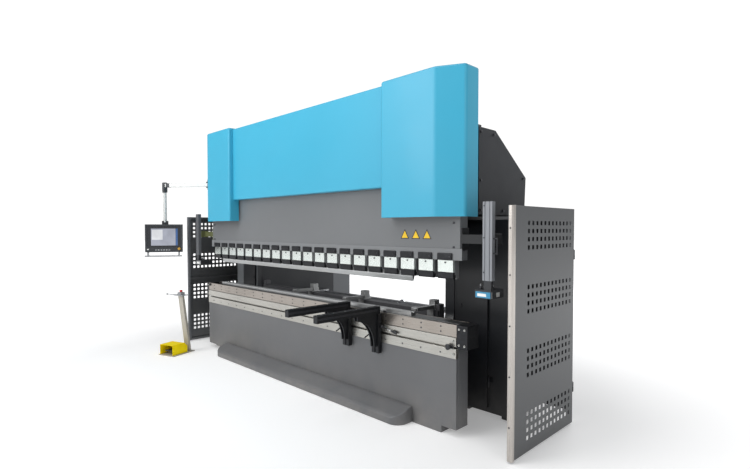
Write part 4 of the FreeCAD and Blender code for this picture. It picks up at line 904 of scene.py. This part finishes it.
@dataclass
class Frames:
    """Side frames, pads, guides, cylinders, cross members and side brackets."""

    bolt_radius: float = 0.014
    bolt_height: float = 0.012
    bolt_sink: float = 0.001
    cylinder_inset: float = 0.03
    cylinder_least: float = 0.2
    foot_rows: tuple[tuple[float, float], ...] = ((1.56, 0.24), (1.56, 0.34), (1.62, 0.24), (1.62, 0.34))

    def build(self) -> None:
        """Makes and dresses the frames."""
        dressed("frame_right", FRAME_PAINT, 0.003)
        dressed("frame_left", FRAME_PAINT, 0.003)
        dressed("levelling_pads", PAD_IRON, 0.002)
        dressed("ram_guides", ADAPTER_STEEL, 0.002)
        dressed("cylinder_blocks", CYLINDER_PAINT, 0.004)
        dressed("cross_members", FRAME_PAINT, 0.003)
        dressed("side_brackets", OXIDE, 0.001)
        self.bolts()

    def bolts(self) -> None:
        """Bolts of the cylinders and the cross members."""
        piece = Piece("frame_bolts")
        for low, high in spots("cylinder_blocks"):
            if high.x - low.x < self.cylinder_least:
                continue
            for x in (low.x + self.cylinder_inset, high.x - self.cylinder_inset):
                for y in (low.y + self.cylinder_inset, high.y - self.cylinder_inset):
                    piece.add(self.bolt((x, y, high.z - self.bolt_sink), (0, 0, 1)), SCREW_BLACK)
        for side in (-1.0, 1.0):
            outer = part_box("frame_right")[1].x if side > 0 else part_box("frame_left")[0].x
            for y, z in self.foot_rows:
                piece.add(self.bolt((outer - side * self.bolt_sink, y, z), (side, 0, 0)), SCREW_BLACK)
        piece.done("machine", SLOT_OF["table_screws"])

    def bolt(self, centre: Point, axis: Point) -> bmesh.types.BMesh:
        """One frame bolt."""
        return hex_head(centre, axis, self.bolt_radius, self.bolt_height)


@dataclass
class Hydraulics:
    """Tank, motor, pump, valve blocks and pipes."""

    fins: int = 24
    fin_depth: float = 0.010
    motor_length: float = 0.380
    pump_radius: float = 0.065
    motor_least: float = 0.4
    cap_most: float = 0.1

    def build(self) -> None:
        """Makes and dresses the hydraulics."""
        dressed("oil_tank", TANK_PAINT, 0.004)
        dressed("oil_pipes", PIPE_STEEL, 0.0)
        self.power()

    def power(self) -> None:
        """Finned motor with its fan cover, pump, filler and valve blocks with coils."""
        piece = Piece("motor_and_valves")
        for low, high in spots("power_unit"):
            size = high - low
            middle = (low + high) / 2
            if size.x > self.motor_least:
                self.motor(piece, low, high)
            elif size.z < self.cap_most:
                radius = size.x / 2
                neck = radius * 0.8
                profile = [(0, 0), (radius, 0), (radius, 0.012), (neck, 0.014), (neck, size.z * 0.6),
                           (radius, size.z * 0.62), (radius, size.z - 0.004), (radius - 0.004, size.z),
                           (0, size.z)]
                piece.add(turned(profile, (middle.x, middle.y, low.z), (0, 0, 1)), BLACK_PLASTIC)
            else:
                piece.add(block(low, high, 0.003), ADAPTER_STEEL)
                for z in (0.25, 0.6):
                    start = (middle.x, low.y, low.z + size.z * z)
                    piece.add(rod(start, (0, -1, 0), 0.022, 0.05, 0.003), BLACK_PLASTIC)
                for x in (0.18, 0.82):
                    for y in (0.15, 0.85):
                        centre = (low.x + size.x * x, low.y + size.y * y, high.z)
                        piece.add(cap_screw(centre, (0, 0, 1), 0.006, 0.006), SCREW_BLACK)
        piece.done("machine", SLOT_OF["power_unit"], "power_unit")

    def motor(self, piece: Piece, low: Vector, high: Vector) -> None:
        """Adds the motor and its pump.

        Args:
            piece: Piece to add to.
            low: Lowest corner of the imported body.
            high: Highest corner of it.
        """
        radius = (high.y - low.y) / 2
        length = self.motor_length
        centre = Vector((low.x, (low.y + high.y) / 2, high.z - radius))
        core = radius - self.fin_depth
        profile = [(0.0, 0.0), (radius * 0.5, 0.0), (radius - 0.012, 0.004), (radius, 0.016), (radius, 0.07),
                   (core, 0.072)]
        step = (length - 0.13) / self.fins
        for number in range(self.fins):
            at = 0.085 + number * step
            profile += [(core, at), (radius, at), (radius, at + step * 0.4), (core, at + step * 0.4)]
        profile += [(core, length - 0.03), (radius, length - 0.028), (radius, length), (radius * 0.7, length),
                    (0.0, length)]
        piece.add(turned(profile, centre, (1, 0, 0), 36), TANK_PAINT)
        pump = self.pump_radius
        piece.add(turned([(0, length), (pump, length), (pump, length + 0.05), (pump * 0.8, length + 0.055),
                          (pump * 0.8, length + 0.16), (pump * 0.6, length + 0.185), (0, length + 0.19)],
                         centre, (1, 0, 0), 28), CYLINDER_PAINT)
        foot_low = (centre.x + 0.03, centre.y - radius * 0.8, low.z)
        foot_high = (centre.x + length - 0.03, centre.y + radius * 0.8, centre.z - radius * 0.6)
        piece.add(block(foot_low, foot_high, 0.004), TANK_PAINT)
        box_low = (centre.x + 0.14, centre.y - 0.05, high.z - 0.012)
        piece.add(block(box_low, (centre.x + 0.26, centre.y + 0.05, high.z + 0.03), 0.006), TANK_PAINT)


@dataclass
class Covers:
    """Blue end covers, centre panel and dark side housings."""

    fold: float = 0.022
    thick: float = 0.003
    probe_z: float = 2.2
    return_y: float = -0.045
    corner_x: float = 1.890
    corner_y: float = -0.067
    bolt_places: tuple[tuple[float, float], ...] = (
        (0.411, 2.390), (0.903, 2.062), (0.215, 2.003), (0.215, 2.390), (0.215, 1.765), (0.900, 1.765),
        (0.560, 1.765))
    bolt_radius: float = 0.011
    bolt_height: float = 0.010
    bolt_sink: float = 0.001

    def build(self) -> None:
        """Makes and dresses the covers."""
        self.end_cover(1.0, "cover_right_shell", "cover_boxes")
        self.end_cover(-1.0, "cover_left_shell")
        self.centre()
        self.housings()

    def shell(self, line: Sequence[tuple[float, float]], low: float, high: float) -> bmesh.types.BMesh:
        """Bent sheet that follows a line in plan, closed by a lid at its top.

        Args:
            line: (x, y) corners of the outer face.
            low: Bottom level.
            high: Top level.

        Returns:
            The sheet, still without thickness.
        """
        shape = bmesh.new()
        foot = [shape.verts.new((x, y, low)) for x, y in line]
        edges = [shape.edges.new(pair) for pair in zip(foot, foot[1:])]
        made = bmesh.ops.extrude_edge_only(shape, edges=edges)["geom"]
        top = [g for g in made if isinstance(g, bmesh.types.BMVert)]
        bmesh.ops.translate(shape, vec=(0, 0, high - low), verts=top)
        corners = [Vector((x, y, high)) for x, y in line]
        shape.faces.new([min(top, key=lambda v, corner=corner: (v.co - corner).length) for corner in corners])
        bmesh.ops.recalc_face_normals(shape, faces=shape.faces)
        folds = [e for e in shape.edges if len(e.link_faces) == 2]
        folds.sort(key=lambda e: abs(e.verts[0].co.z - e.verts[1].co.z) < 1e-6)
        soften(shape, folds, self.fold, 4)
        return shape

    def end_cover(self, side: float, name: str, *stands_for: str) -> None:
        """Makes one end cover.

        Args:
            side: 1 for the right end, -1 for the left.
            name: Name of the piece.
            stands_for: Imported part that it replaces, named by one of the two covers.
        """
        low, high = spots("cover_boxes")[1 if side > 0 else 0]
        inner = min(abs(low.x), abs(high.x))
        outer = max(abs(low.x), abs(high.x))
        plan = [(inner, self.return_y), (inner, low.y), (self.corner_x, low.y), (outer, self.corner_y),
                (outer, high.y)]
        line = [(side * x, y) for x, y in plan]
        sheet = self.thickened(self.shell(line, low.z, high.z), line)
        piece = Piece(name)
        piece.add(sheet, COVER_PAINT, fixed=True)
        piece.done("machine", SLOT_OF["cover_boxes"], *stands_for)

    def thickened(self, shape: bmesh.types.BMesh, line: Sequence[tuple[float, float]]) -> bmesh.types.BMesh:
        """Gives a sheet its thickness towards its inside.

        Args:
            shape: Sheet whose faces point one way.
            line: Corners of its plan, to tell the inside.

        Returns:
            The solid sheet with its faces outwards.
        """
        shape.normal_update()
        mid_x = sum(x for x, _ in line) / len(line)
        front = min(y for _, y in line)
        point = Vector((mid_x, front, self.probe_z))
        probe = min(shape.faces, key=lambda f: (f.calc_center_median() - point).length)
        if probe.normal.y > 0:
            bmesh.ops.reverse_faces(shape, faces=shape.faces)
        shape.normal_update()
        bmesh.ops.solidify(shape, geom=shape.faces, thickness=self.thick)
        bmesh.ops.recalc_face_normals(shape, faces=shape.faces)
        return shape

    def centre(self) -> None:
        """Centre panel with rounded folds at its top and bottom."""
        low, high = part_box("cover_centre")
        shape = bmesh.new()
        line = [(high.y, high.z), (low.y, high.z), (low.y, low.z), (self.return_y, low.z)]
        side = [shape.verts.new((low.x + 0.0005, y, z)) for y, z in line]
        edges = [shape.edges.new(pair) for pair in zip(side, side[1:])]
        made = bmesh.ops.extrude_edge_only(shape, edges=edges)["geom"]
        moved = [g for g in made if isinstance(g, bmesh.types.BMVert)]
        bmesh.ops.translate(shape, vec=(high.x - low.x - 0.001, 0, 0), verts=moved)
        bmesh.ops.recalc_face_normals(shape, faces=shape.faces)
        soften(shape, [e for e in shape.edges if len(e.link_faces) == 2], 0.012, 4)
        piece = Piece("cover_panel")
        piece.add(self.thickened(shape, [(0.0, low.y)]), COVER_PAINT, fixed=True)
        piece.done("machine", SLOT_OF["cover_centre"], "cover_centre")

    def housings(self) -> None:
        """Dark housings beside the frames with their bolts."""
        dressed("side_housings", HOUSING_PAINT, 0.003)
        low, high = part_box("side_housings")
        piece = Piece("housing_bolts")
        for side, x in ((-1.0, low.x), (1.0, high.x)):
            for y, z in self.bolt_places:
                centre = (x - side * self.bolt_sink, y, z)
                piece.add(hex_head(centre, (side, 0, 0), self.bolt_radius, self.bolt_height), SCREW_BLACK)
        piece.done("machine", SLOT_OF["table_screws"])


@dataclass
class Cabinets:
    """Side cabinets with doors and modules, and the rear cabinet with its vent."""

    louvres: int = 9

    def build(self) -> None:
        """Makes and dresses the cabinets."""
        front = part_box("cabinets")[0].y

        def band(face: bmesh.types.BMFace) -> Finish:
            """Grey on the left cabinet's fixed front, dark elsewhere."""
            centre = face.calc_center_median()
            fixed_front = face.normal.y < -0.9 and centre.y < front + 0.002
            return BAND_PAINT if fixed_front and centre.x < 0.0 else CABINET_PAINT

        dressed("cabinets", CABINET_PAINT, 0.002, faces=band)
        dressed("cabinet_inside", MODULE_GREY, 0.001)
        dressed("door_left", CABINET_PAINT, 0.002)
        dressed("door_right", CABINET_PAINT, 0.002)
        dressed("rear_cabinet", BAND_PAINT, 0.003)
        self.vent()

    def vent(self) -> None:
        """Slats across the rear cabinet's vent."""
        low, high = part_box("rear_cabinet")
        middle = (low.x + high.x) / 2
        piece = Piece("vent_slats")
        base = high.z - 0.320
        step = 0.180 / self.louvres
        for number in range(self.louvres):
            z = base + (number + 0.5) * step
            slat = block((middle - 0.092, -0.006, -0.0012), (middle + 0.092, 0.006, 0.0012), 0.0005)
            tilt = Matrix.Translation((0, high.y - 0.006, z)) @ Matrix.Rotation(math.radians(-38), 4, "X")
            piece.add(slat, BLACK_PLASTIC, tilt)
        piece.done("machine", SLOT_OF["rear_cabinet"])


@dataclass
class Guards:
    """Hinged side guards."""

    screw_rows: tuple[float, ...] = (0.25, 0.60, 0.95, 1.30, 1.62)
    screw_x: float = 2.545
    post_depth: float = 0.045

    def build(self) -> None:
        """Makes and dresses the guards."""
        for side in ("right", "left"):
            node = "guard_frame_" + side
            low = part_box(node)[0]
            back = low.y + self.post_depth

            def skin(face: bmesh.types.BMFace, back: float = back, side: str = side) -> Finish:
                """Steel front post, painted tubes behind it."""
                centre = face.calc_center_median()
                if centre.y < back:
                    return POST_STEEL if side == "right" else LEFT_PAINT
                return GUARD_PAINT

            dressed(node, GUARD_PAINT, 0.0015, faces=skin)
            dressed("guard_panel_" + side, GUARD_PAINT, 0.0006, 1)
            self.screws(side, low.y)

    def screws(self, side: str, front: float) -> None:
        """Small screws on a front post.

        Args:
            side: right or left.
            front: Front face of the post.
        """
        x = self.screw_x if side == "right" else -self.screw_x
        piece = Piece("guard_screws_" + side)
        for z in self.screw_rows:
            piece.add(cap_screw((x, front, z), (0, -1, 0), 0.006, 0.003), SCREW_BLACK)
        piece.done(BODY_OF["guard_frame_" + side], SLOT_OF["clamp_screws"])


@dataclass
class Sensors:
    """Beam sensors on their columns, with their windows and plugs."""

    unit_inner: float = 2.233
    unit_outer: float = 2.369
    unit_top: float = 1.242
    handle_inner: float = 2.376
    window: tuple[float, float] = (1.114, 1.158)
    strip: tuple[float, float] = (1.124, 1.145)
    plate: tuple[float, float] = (1.120, 1.152)
    edge_bar: tuple[float, float] = (1.114, 1.160)
    plugs: int = 4
    plug_radius: float = 0.009
    plug_low: float = 1.170
    cap_x: tuple[float, float] = (2.297, 2.373)
    screw_rows: tuple[float, ...] = (1.30, 1.55, 1.78)

    def build(self) -> None:
        """Makes and dresses both sensors."""
        for side, name, paint in ((1.0, "right", COLUMN_PAINT), (-1.0, "left", LEFT_PAINT)):
            def skin(face: bmesh.types.BMFace, paint: Finish = paint) -> Finish:
                """Painted column, black unit and black handle."""
                centre = face.calc_center_median()
                black = centre.z < self.unit_top or abs(centre.x) > self.handle_inner
                return BLACK_PLASTIC if black else paint

            dressed("sensor_" + name, paint, 0.0015, faces=skin)
            self.fittings(side, name)

    def fittings(self, side: float, name: str) -> None:
        """Window, side label plate, plugs and end caps of one sensor.

        Args:
            side: 1 right, -1 left.
            name: right or left.
        """
        low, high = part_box("sensor_" + name)
        piece = Piece("sensor_fittings_" + name)
        x0, x1 = sorted((side * self.unit_inner, side * self.unit_outer))
        front = low.y
        band = BLUE_PLASTIC if side > 0 else GREY_PLASTIC
        low_z, high_z = self.window
        window = block((x0 + 0.006, front - 0.002, low_z), (x1 - 0.006, front + 0.002, high_z), 0.0015)
        piece.add(window, band)
        low_z, high_z = self.strip
        strip = block((x0 + 0.022, front - 0.003, low_z), (x1 - 0.040, front + 0.002, high_z), 0.001)
        piece.add(strip, WHITE_PLASTIC)
        face = side * self.unit_outer
        xa, xb = sorted((face - side * 0.002, face + side * 0.0025))
        low_z, high_z = self.plate
        piece.add(block((xa, front + 0.070, low_z), (xb, front + 0.112, high_z), 0.001), WHITE_PLASTIC)
        low_z, high_z = self.edge_bar
        piece.add(block((xa, front + 0.006, low_z), (xb, front + 0.014, high_z), 0.001), GREY_PLASTIC)
        self.plug_row(piece, side, front)
        x0, x1 = sorted((side * self.cap_x[0], side * self.cap_x[1]))
        cap = block((x0, front + 0.001, high.z - 0.001), (x1, front + 0.039, high.z + 0.004), 0.0015)
        piece.add(cap, BLACK_PLASTIC)
        for z in self.screw_rows:
            piece.add(cap_screw((x0 + 0.010, front, z), (0, -1, 0), 0.005, 0.004), SCREW_BLACK)
        piece.done(BODY_OF["sensor_" + name], SLOT_OF["panel_case"])

    def plug_row(self, piece: Piece, side: float, front: float) -> None:
        """Adds the plugs on the unit's top.

        Args:
            piece: Piece to add to.
            side: 1 right, -1 left.
            front: Front face of the unit.
        """
        for number in range(self.plugs):
            x = side * (self.unit_inner + 0.018 + 0.034 * number)
            foot = (x, front + 0.05, self.plug_low)
            piece.add(rod(foot, (0, 0, 1), self.plug_radius, 0.024, 0.002, 16), SCREW_BLACK)
            neck = (x, front + 0.05, self.plug_low + 0.022)
            piece.add(rod(neck, (0, 0, 1), self.plug_radius * 0.7, 0.016, 0.001, 14), GREY_PLASTIC)


@dataclass
class BackGauge:
    """Back gauge rails, carriage, ball screw, beam and fingers."""

    def build(self) -> None:
        """Makes and dresses the back gauge."""
        dressed("gauge_rails", ADAPTER_STEEL, 0.002)
        dressed("gauge_carriage", GAUGE_PAINT, 0.002)
        dressed("gauge_beam", GAUGE_PAINT, 0.002)
        for name in ("finger_left", "finger_mid", "finger_right"):
            dressed(name, TOOL_STEEL, 0.002)
        dressed("gauge_screw", CHROME, 0.001)


@dataclass
class Supports:
    """Sheet supports with slot lines painted on (a black strip of painted shade between two lighter strips of
    painted highlight) and screws, and a stop plate and a lever on the right one.
    """

    arm_shift: float = 0.028
    arm_width: float = 0.050
    arm_low: float = 0.868
    arm_height: float = 0.062
    slot_shade_height: float = 0.010
    lip_highlight: float = 0.003
    back: float = -0.130
    screw_gap: float = 0.125
    front_gap: float = 0.004
    plate_front: float = -0.066
    plate_thick: float = 0.010
    plate_levels: tuple[float, float, float] = (0.892, 0.830, 0.806)
    plate_top: float = 0.030
    plate_reach: float = 0.082
    lever_from: tuple[float, float] = (-0.108, 0.757)
    lever_way: tuple[float, float, float] = (0.165, -0.006, -0.032)

    def build(self) -> None:
        """Makes and dresses both supports."""
        for name in ("left", "right"):
            node = "support_" + name
            dressed(node, OXIDE, 0.002)
            low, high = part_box(node)
            piece = Piece("support_fittings_" + name)
            self.slots(piece, low, high)
            if name == "right":
                self.stop(piece, high.x)
            piece.done(BODY_OF[node], SLOT_OF[node])

    def slots(self, piece: Piece, low: Vector, high: Vector) -> None:
        """Adds the slot lines on the arm's sides, a black strip of painted shade where the slot's recess
        would be, between lighter strips of painted highlight for its lips, and the screws on its top.

        Args:
            piece: Piece to add to.
            low: Lowest corner of the support.
            high: Highest corner of it.
        """
        x = (low.x + high.x) / 2 + self.arm_shift
        z = self.arm_low + self.arm_height / 2
        half = self.slot_shade_height / 2
        front = low.y + self.front_gap
        for side in (-1.0, 1.0):
            wall = x + side * self.arm_width / 2
            x0, x1 = sorted((wall - side * 0.001, wall + side * 0.0006))
            # Black strip: painted shade standing for the slot's dark recess.
            piece.add(block((x0, front, z - half), (x1, self.back, z + half), 0.0002, 1), BLACK_PLASTIC)
            # Lighter strips above and below it: painted highlights on the slot's lips.
            x0, x1 = sorted((wall - side * 0.001, wall + side * 0.0012))
            for edge in (z - half - self.lip_highlight, z + half):
                piece.add(block((x0, front, edge), (x1, self.back, edge + self.lip_highlight), 0.0004, 1), SCREW_BLACK)
        y = low.y + 0.060
        while y < self.back - 0.02:
            piece.add(cap_screw((x, y, high.z), (0, 0, 1), 0.006, 0.0015), SCREW_BRIGHT)
            y += self.screw_gap

    def stop(self, piece: Piece, side: float) -> None:
        """Adds the stop plate beside the right support and the clamp lever under it.

        Args:
            piece: Piece to add to.
            side: Right side of the support.
        """
        x = side - 0.004
        y = self.plate_front
        top, shoulder, low = self.plate_levels
        outline = [(x, y, top), (x + self.plate_top, y, top), (x + self.plate_reach, y, shoulder),
                   (x + self.plate_reach, y, low), (x, y, low)]
        piece.add(prism(outline, (0, -self.plate_thick, 0), 0.0015), SCREW_BLACK)
        for dx, z in ((0.020, 0.860), (0.056, 0.822)):
            centre = (x + dx, y - self.plate_thick, z)
            piece.add(cap_screw(centre, (0, -1, 0), 0.008, 0.006), SCREW_BRIGHT)
        hub = Vector((x - 0.020, *self.lever_from))
        piece.add(rod(hub, (1, 0, 0), 0.014, 0.044, 0.002), SCREW_BLACK)
        start = hub + Vector((0.034, 0, 0))
        arm = Vector(self.lever_way)
        piece.add(rod(start, arm, 0.0055, arm.length, 0.001, 16), CHROME)
        profile = [(0, 0), (0.009, 0.002), (0.011, 0.03), (0.010, 0.062), (0, 0.066)]
        piece.add(turned(profile, start + arm * 0.72, arm), BLACK_PLASTIC)


@dataclass
class TableEnds:
    """Knobs and bolts at the ends of the table and the rail."""

    knob: tuple[float, float, float] = (1.992, -0.096, 0.704)
    left_knob: tuple[float, float, float] = (-2.018, -0.060, 0.852)
    strap_sink: float = 0.001
    strap_edge: float = 0.002

    def build(self) -> None:
        """Makes the knobs and bolts."""
        piece = Piece("table_end_knobs")
        x, y, z = self.knob
        profile = [(0, 0), (0.010, 0), (0.010, 0.010), (0.022, 0.014), (0.024, 0.030), (0.018, 0.036),
                   (0, 0.037)]
        piece.add(turned(profile, (x, y, z), (0, -1, 0)), BLACK_PLASTIC)
        self.strap(piece, self.knob, (0.034, 0.006, 0.010))
        for dx, dz in ((0.030, 0.046), (0.034, -0.054)):
            piece.add(cap_screw((x + dx, y, z + dz), (0, -1, 0), 0.010, 0.008), SCREW_BRIGHT)
        x, y, z = self.left_knob
        self.strap(piece, self.left_knob, (0.028, 0.012, 0.014))
        profile = [(0, 0), (0.008, 0), (0.008, 0.012), (0.017, 0.015), (0.018, 0.030), (0, 0.032)]
        piece.add(turned(profile, (x, y - 0.010, z), (0, -1, 0)), BLACK_PLASTIC)
        piece.done("machine", SLOT_OF["table_screws"])

    def strap(self, piece: Piece, centre: Point, reach: Point) -> None:
        """Adds the flat strap behind a knob.

        Args:
            piece: Piece to add to.
            centre: Middle of the strap on the face that carries it.
            reach: Half its length, its thickness and half its height.
        """
        x, y, z = centre
        low = (x - reach[0], y - reach[1], z - reach[2])
        high = (x + reach[0], y + self.strap_sink, z + reach[2])
        piece.add(block(low, high, self.strap_edge), SCREW_BLACK)


@dataclass
class Pendant:
    """Pendant arm, drop tube, panel and knob."""

    yaw: float = math.radians(60.0)
    case_width: float = 0.476
    case_front: float = -0.145
    case_low: float = 1.286
    case_high: float = 1.670
    swivel_top: float = 1.725
    elbow_radius: float = 0.0315
    elbow_bore: float = 0.0255
    elbow_skirt: float = 0.075
    keys: int = 6

    def build(self) -> None:
        """Makes and dresses the pendant."""
        self.arm()
        dressed("panel_knob", GOLD_PLASTIC, 0.001)
        self.drop()
        self.panel()

    def place(self) -> Matrix:
        """Place of the panel's own frame: on the drop tube's axis, turned to the panel."""
        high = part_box("pendant_drop")[1]
        shape = merged("pendant_drop")
        top = [v.co for v in shape.verts if v.co.z > high.z - 0.001]
        centre = sum(top, Vector()) / len(top)
        shape.free()
        return Matrix.Translation((centre.x, centre.y, 0)) @ Matrix.Rotation(self.yaw, 4, "Z")

    def arm(self) -> None:
        """Pale arm with a dark elbow over the drop tube."""
        where = self.place()
        centre = Vector((where.translation.x, where.translation.y, 0.0))
        low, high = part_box("pendant_arm")
        piece = Piece("pendant_arm_made")
        piece.add(refined("pendant_arm", 0.004), PENDANT_PAINT, fixed=True)
        radius = self.elbow_radius
        bore = self.elbow_bore
        skirt = low.z - self.elbow_skirt
        profile = [(bore, skirt), (radius, skirt), (radius + 0.003, skirt + 0.02),
                   (radius + 0.003, high.z + 0.006), (radius - 0.002, high.z + 0.016),
                   (0.012, high.z + 0.018), (0.012, high.z + 0.0155), (radius - 0.006, high.z + 0.0155),
                   (radius - 0.001, high.z + 0.004), (radius - 0.001, low.z - 0.001), (bore, low.z - 0.001),
                   (bore, skirt)]
        piece.add(turned(profile, centre, (0, 0, 1), 30), BEZEL_PLASTIC)
        pivot = Vector((low.x + high.x, low.y + high.y, 0.0)) - centre
        along = (pivot - centre).normalized()
        start = centre + along * 0.03 + Vector((0, 0, (low.z + high.z) / 2))
        side = Vector((-along.y, along.x, 0.0))
        turn = Matrix((along, side, Vector((0, 0, 1)))).transposed().to_4x4()
        sleeve = block((0.0, -0.0305, -0.0275), (0.055, 0.0305, 0.0275), 0.004)
        piece.add(sleeve, BEZEL_PLASTIC, Matrix.Translation(start) @ turn)
        piece.done("pendant_boom", SLOT_OF["pendant_arm"], "pendant_arm")

    def drop(self) -> None:
        """Drop tube in white, swivel head dark."""
        def skin(face: bmesh.types.BMFace) -> Finish:
            """White tube and dark swivel."""
            return BEZEL_PLASTIC if face.calc_center_median().z < self.swivel_top else PENDANT_PAINT

        dressed("pendant_drop", PENDANT_PAINT, 0.002, faces=skin)

    def panel(self) -> None:
        """Case, glass, display areas, keys and handle bar."""
        where = self.place()
        inside = where.inverted()

        def skin(face: bmesh.types.BMFace) -> Finish:
            """Dark case with a silver handle bar."""
            centre = inside @ face.calc_center_median()
            if centre.z < self.case_low - 0.001 and centre.y < self.case_front - 0.012:
                return ADAPTER_STEEL
            return BEZEL_PLASTIC

        piece = Piece("panel_case_made")
        piece.add(refined("panel_case", 0.003), BEZEL_PLASTIC, fixed=True, faces=skin)
        floor = self.case_front + 0.006
        half = self.case_width / 2
        glass = (-half + 0.024, half - 0.024, self.case_low + 0.072, self.case_high - 0.024)
        areas = [
            (glass[0], glass[1], glass[2], glass[3], 0.0015, BLACK_PLASTIC),
            (glass[0] + 0.052, glass[1] - 0.062, glass[2] + 0.020, glass[3] - 0.034, 0.0022, SCREEN_GREY),
            (glass[1] - 0.060, glass[1] - 0.034, glass[2] + 0.020, glass[3] - 0.034, 0.0022, SCREEN_BLUE),
            (glass[0] + 0.062, glass[0] + 0.200, glass[2] + 0.100, glass[3] - 0.050, 0.0026, SCREEN_PALE),
        ]
        for x0, x1, z0, z1, lift, finish in areas:
            piece.add(block((x0, floor - lift, z0), (x1, floor + 0.001, z1), 0.0004, 1), finish, where)
        for number in range(self.keys):
            x = -0.11 + number * 0.034
            key = block((x, self.case_front - 0.002, self.case_low + 0.022),
                        (x + 0.022, self.case_front + 0.002, self.case_low + 0.040), 0.001, 1)
            piece.add(key, GREY_PLASTIC, where)
        dot = (-half + 0.036, self.case_front + 0.001, self.case_low + 0.040)
        piece.add(rod(dot, (0, -1, 0), 0.010, 0.004, 0.001, 18), WHITE_PLASTIC, where)
        piece.done("panel", SLOT_OF["panel_case"], "panel_case")


@dataclass
class PedalStation:
    """Base with leaning post and tray, yellow hood, treadle and stop button."""

    tray_low: float = 0.745

    def build(self) -> None:
        """Makes and dresses the pedal station."""
        def skin(face: bmesh.types.BMFace) -> Finish:
            """Grey tray and box under the stop button, beige elsewhere."""
            return GREY_PLASTIC if face.calc_center_median().z > self.tray_low else POST_PAINT

        dressed("station_base", POST_PAINT, 0.002, faces=skin)
        dressed("pedal_hood", YELLOW_PLASTIC, 0.0015)
        dressed("pedal_treadle", RUBBER, 0.002)
        dressed("station_stop", RED_PLASTIC, 0.003, 3)


@dataclass
class Studio:
    """Pale floor, backdrop, soft lights and camera."""

    eye: tuple[float, float, float] = (4.225, -3.131, 1.620)
    yaw: float = math.radians(45.18)
    pitch: float = math.radians(-1.54)
    lens: float = 23.232
    shift: float = 6.5 / 750.0
    ambient: float = 0.30

    def build(self) -> None:
        """Makes the studio."""
        self.floor()
        self.sky()
        self.lamp("key_light", (-2.5, -8.0, 5.0), (-0.3, 0.0, 1.2), 5.0, 382.0)
        self.lamp("top_light", (0.0, -2.5, 7.0), (0.0, -0.2, 0.8), 5.0, 200.0)
        self.lamp("right_light", (9.0, -3.0, 4.5), (2.2, 0.0, 1.6), 3.0, 72.0)
        self.lamp("rear_light", (1.5, 8.0, 5.0), (0.0, 0.8, 1.2), 5.0, 300.0)
        self.camera()

    def floor(self) -> None:
        """Wide pale floor."""
        shape = bmesh.new()
        bmesh.ops.create_grid(shape, x_segments=2, y_segments=2, size=60.0)
        mesh = bpy.data.meshes.new("studio_floor")
        shape.to_mesh(mesh)
        shape.free()
        finish = StudioFloor("floor_paint", screen(235, 235, 235), 0.8)
        mesh.materials.append(finish.material())
        floor = bpy.data.objects.new("studio_floor", mesh)
        floor.location = (0, 0, -0.0005)
        bpy.context.scene.collection.objects.link(floor)

    def sky(self) -> None:
        """White surroundings that light the scene more softly than they look."""
        world = bpy.data.worlds.new("studio_sky")
        world.use_nodes = True
        nodes, links = world.node_tree.nodes, world.node_tree.links
        seen = nodes["Background"]
        seen.inputs["Color"].default_value = (1.0, 1.0, 1.0, 1.0)
        seen.inputs["Strength"].default_value = 1.05
        light = nodes.new("ShaderNodeBackground")
        light.inputs["Color"].default_value = (0.95, 0.97, 1.0, 1.0)
        light.inputs["Strength"].default_value = self.ambient
        path = nodes.new("ShaderNodeLightPath")
        both = nodes.new("ShaderNodeMixShader")
        links.new(path.outputs["Is Camera Ray"], both.inputs["Fac"])
        links.new(light.outputs["Background"], both.inputs[1])
        links.new(seen.outputs["Background"], both.inputs[2])
        links.new(both.outputs["Shader"], nodes["World Output"].inputs["Surface"])
        bpy.context.scene.world = world
        bpy.context.scene.view_settings.view_transform = "Standard"

    def lamp(self, name: str, at: Point, to: Point, size: float, power: float) -> None:
        """Adds one soft light.

        Args:
            name: Name of the light.
            at: Its place.
            to: Point that it faces.
            size: Side of its square.
            power: Its power in watts.
        """
        data = bpy.data.lights.new(name, "AREA")
        data.size = size
        data.energy = power
        lamp = bpy.data.objects.new(name, data)
        lamp.location = at
        lamp.rotation_euler = (Vector(to) - Vector(at)).to_track_quat("-Z", "Y").to_euler()
        bpy.context.scene.collection.objects.link(lamp)

    def camera(self) -> None:
        """Adds the camera."""
        data = bpy.data.cameras.new("camera")
        data.sensor_width = 36.0
        data.lens = self.lens
        data.shift_y = self.shift
        data.clip_end = 200.0
        camera = bpy.data.objects.new("camera", data)
        camera.location = self.eye
        camera.rotation_euler = (math.radians(90.0) + self.pitch, 0.0, self.yaw)
        bpy.context.scene.collection.objects.link(camera)
        bpy.context.scene.camera = camera


def main() -> None:
    """Builds every sub-assembly in order."""
    logging.basicConfig(level=logging.INFO, format="%(name)s %(message)s")
    parts = [Studio(), Bed(), Tooling(), Ram(), Frames(), Hydraulics(), Covers(), Cabinets(), Guards(),
             Sensors(), BackGauge(), Supports(), TableEnds(), Pendant(), PedalStation()]
    for part in parts:
        LOG.info("building %s", type(part).__name__)
        part.build()


if __name__ == "__main__":
    main()
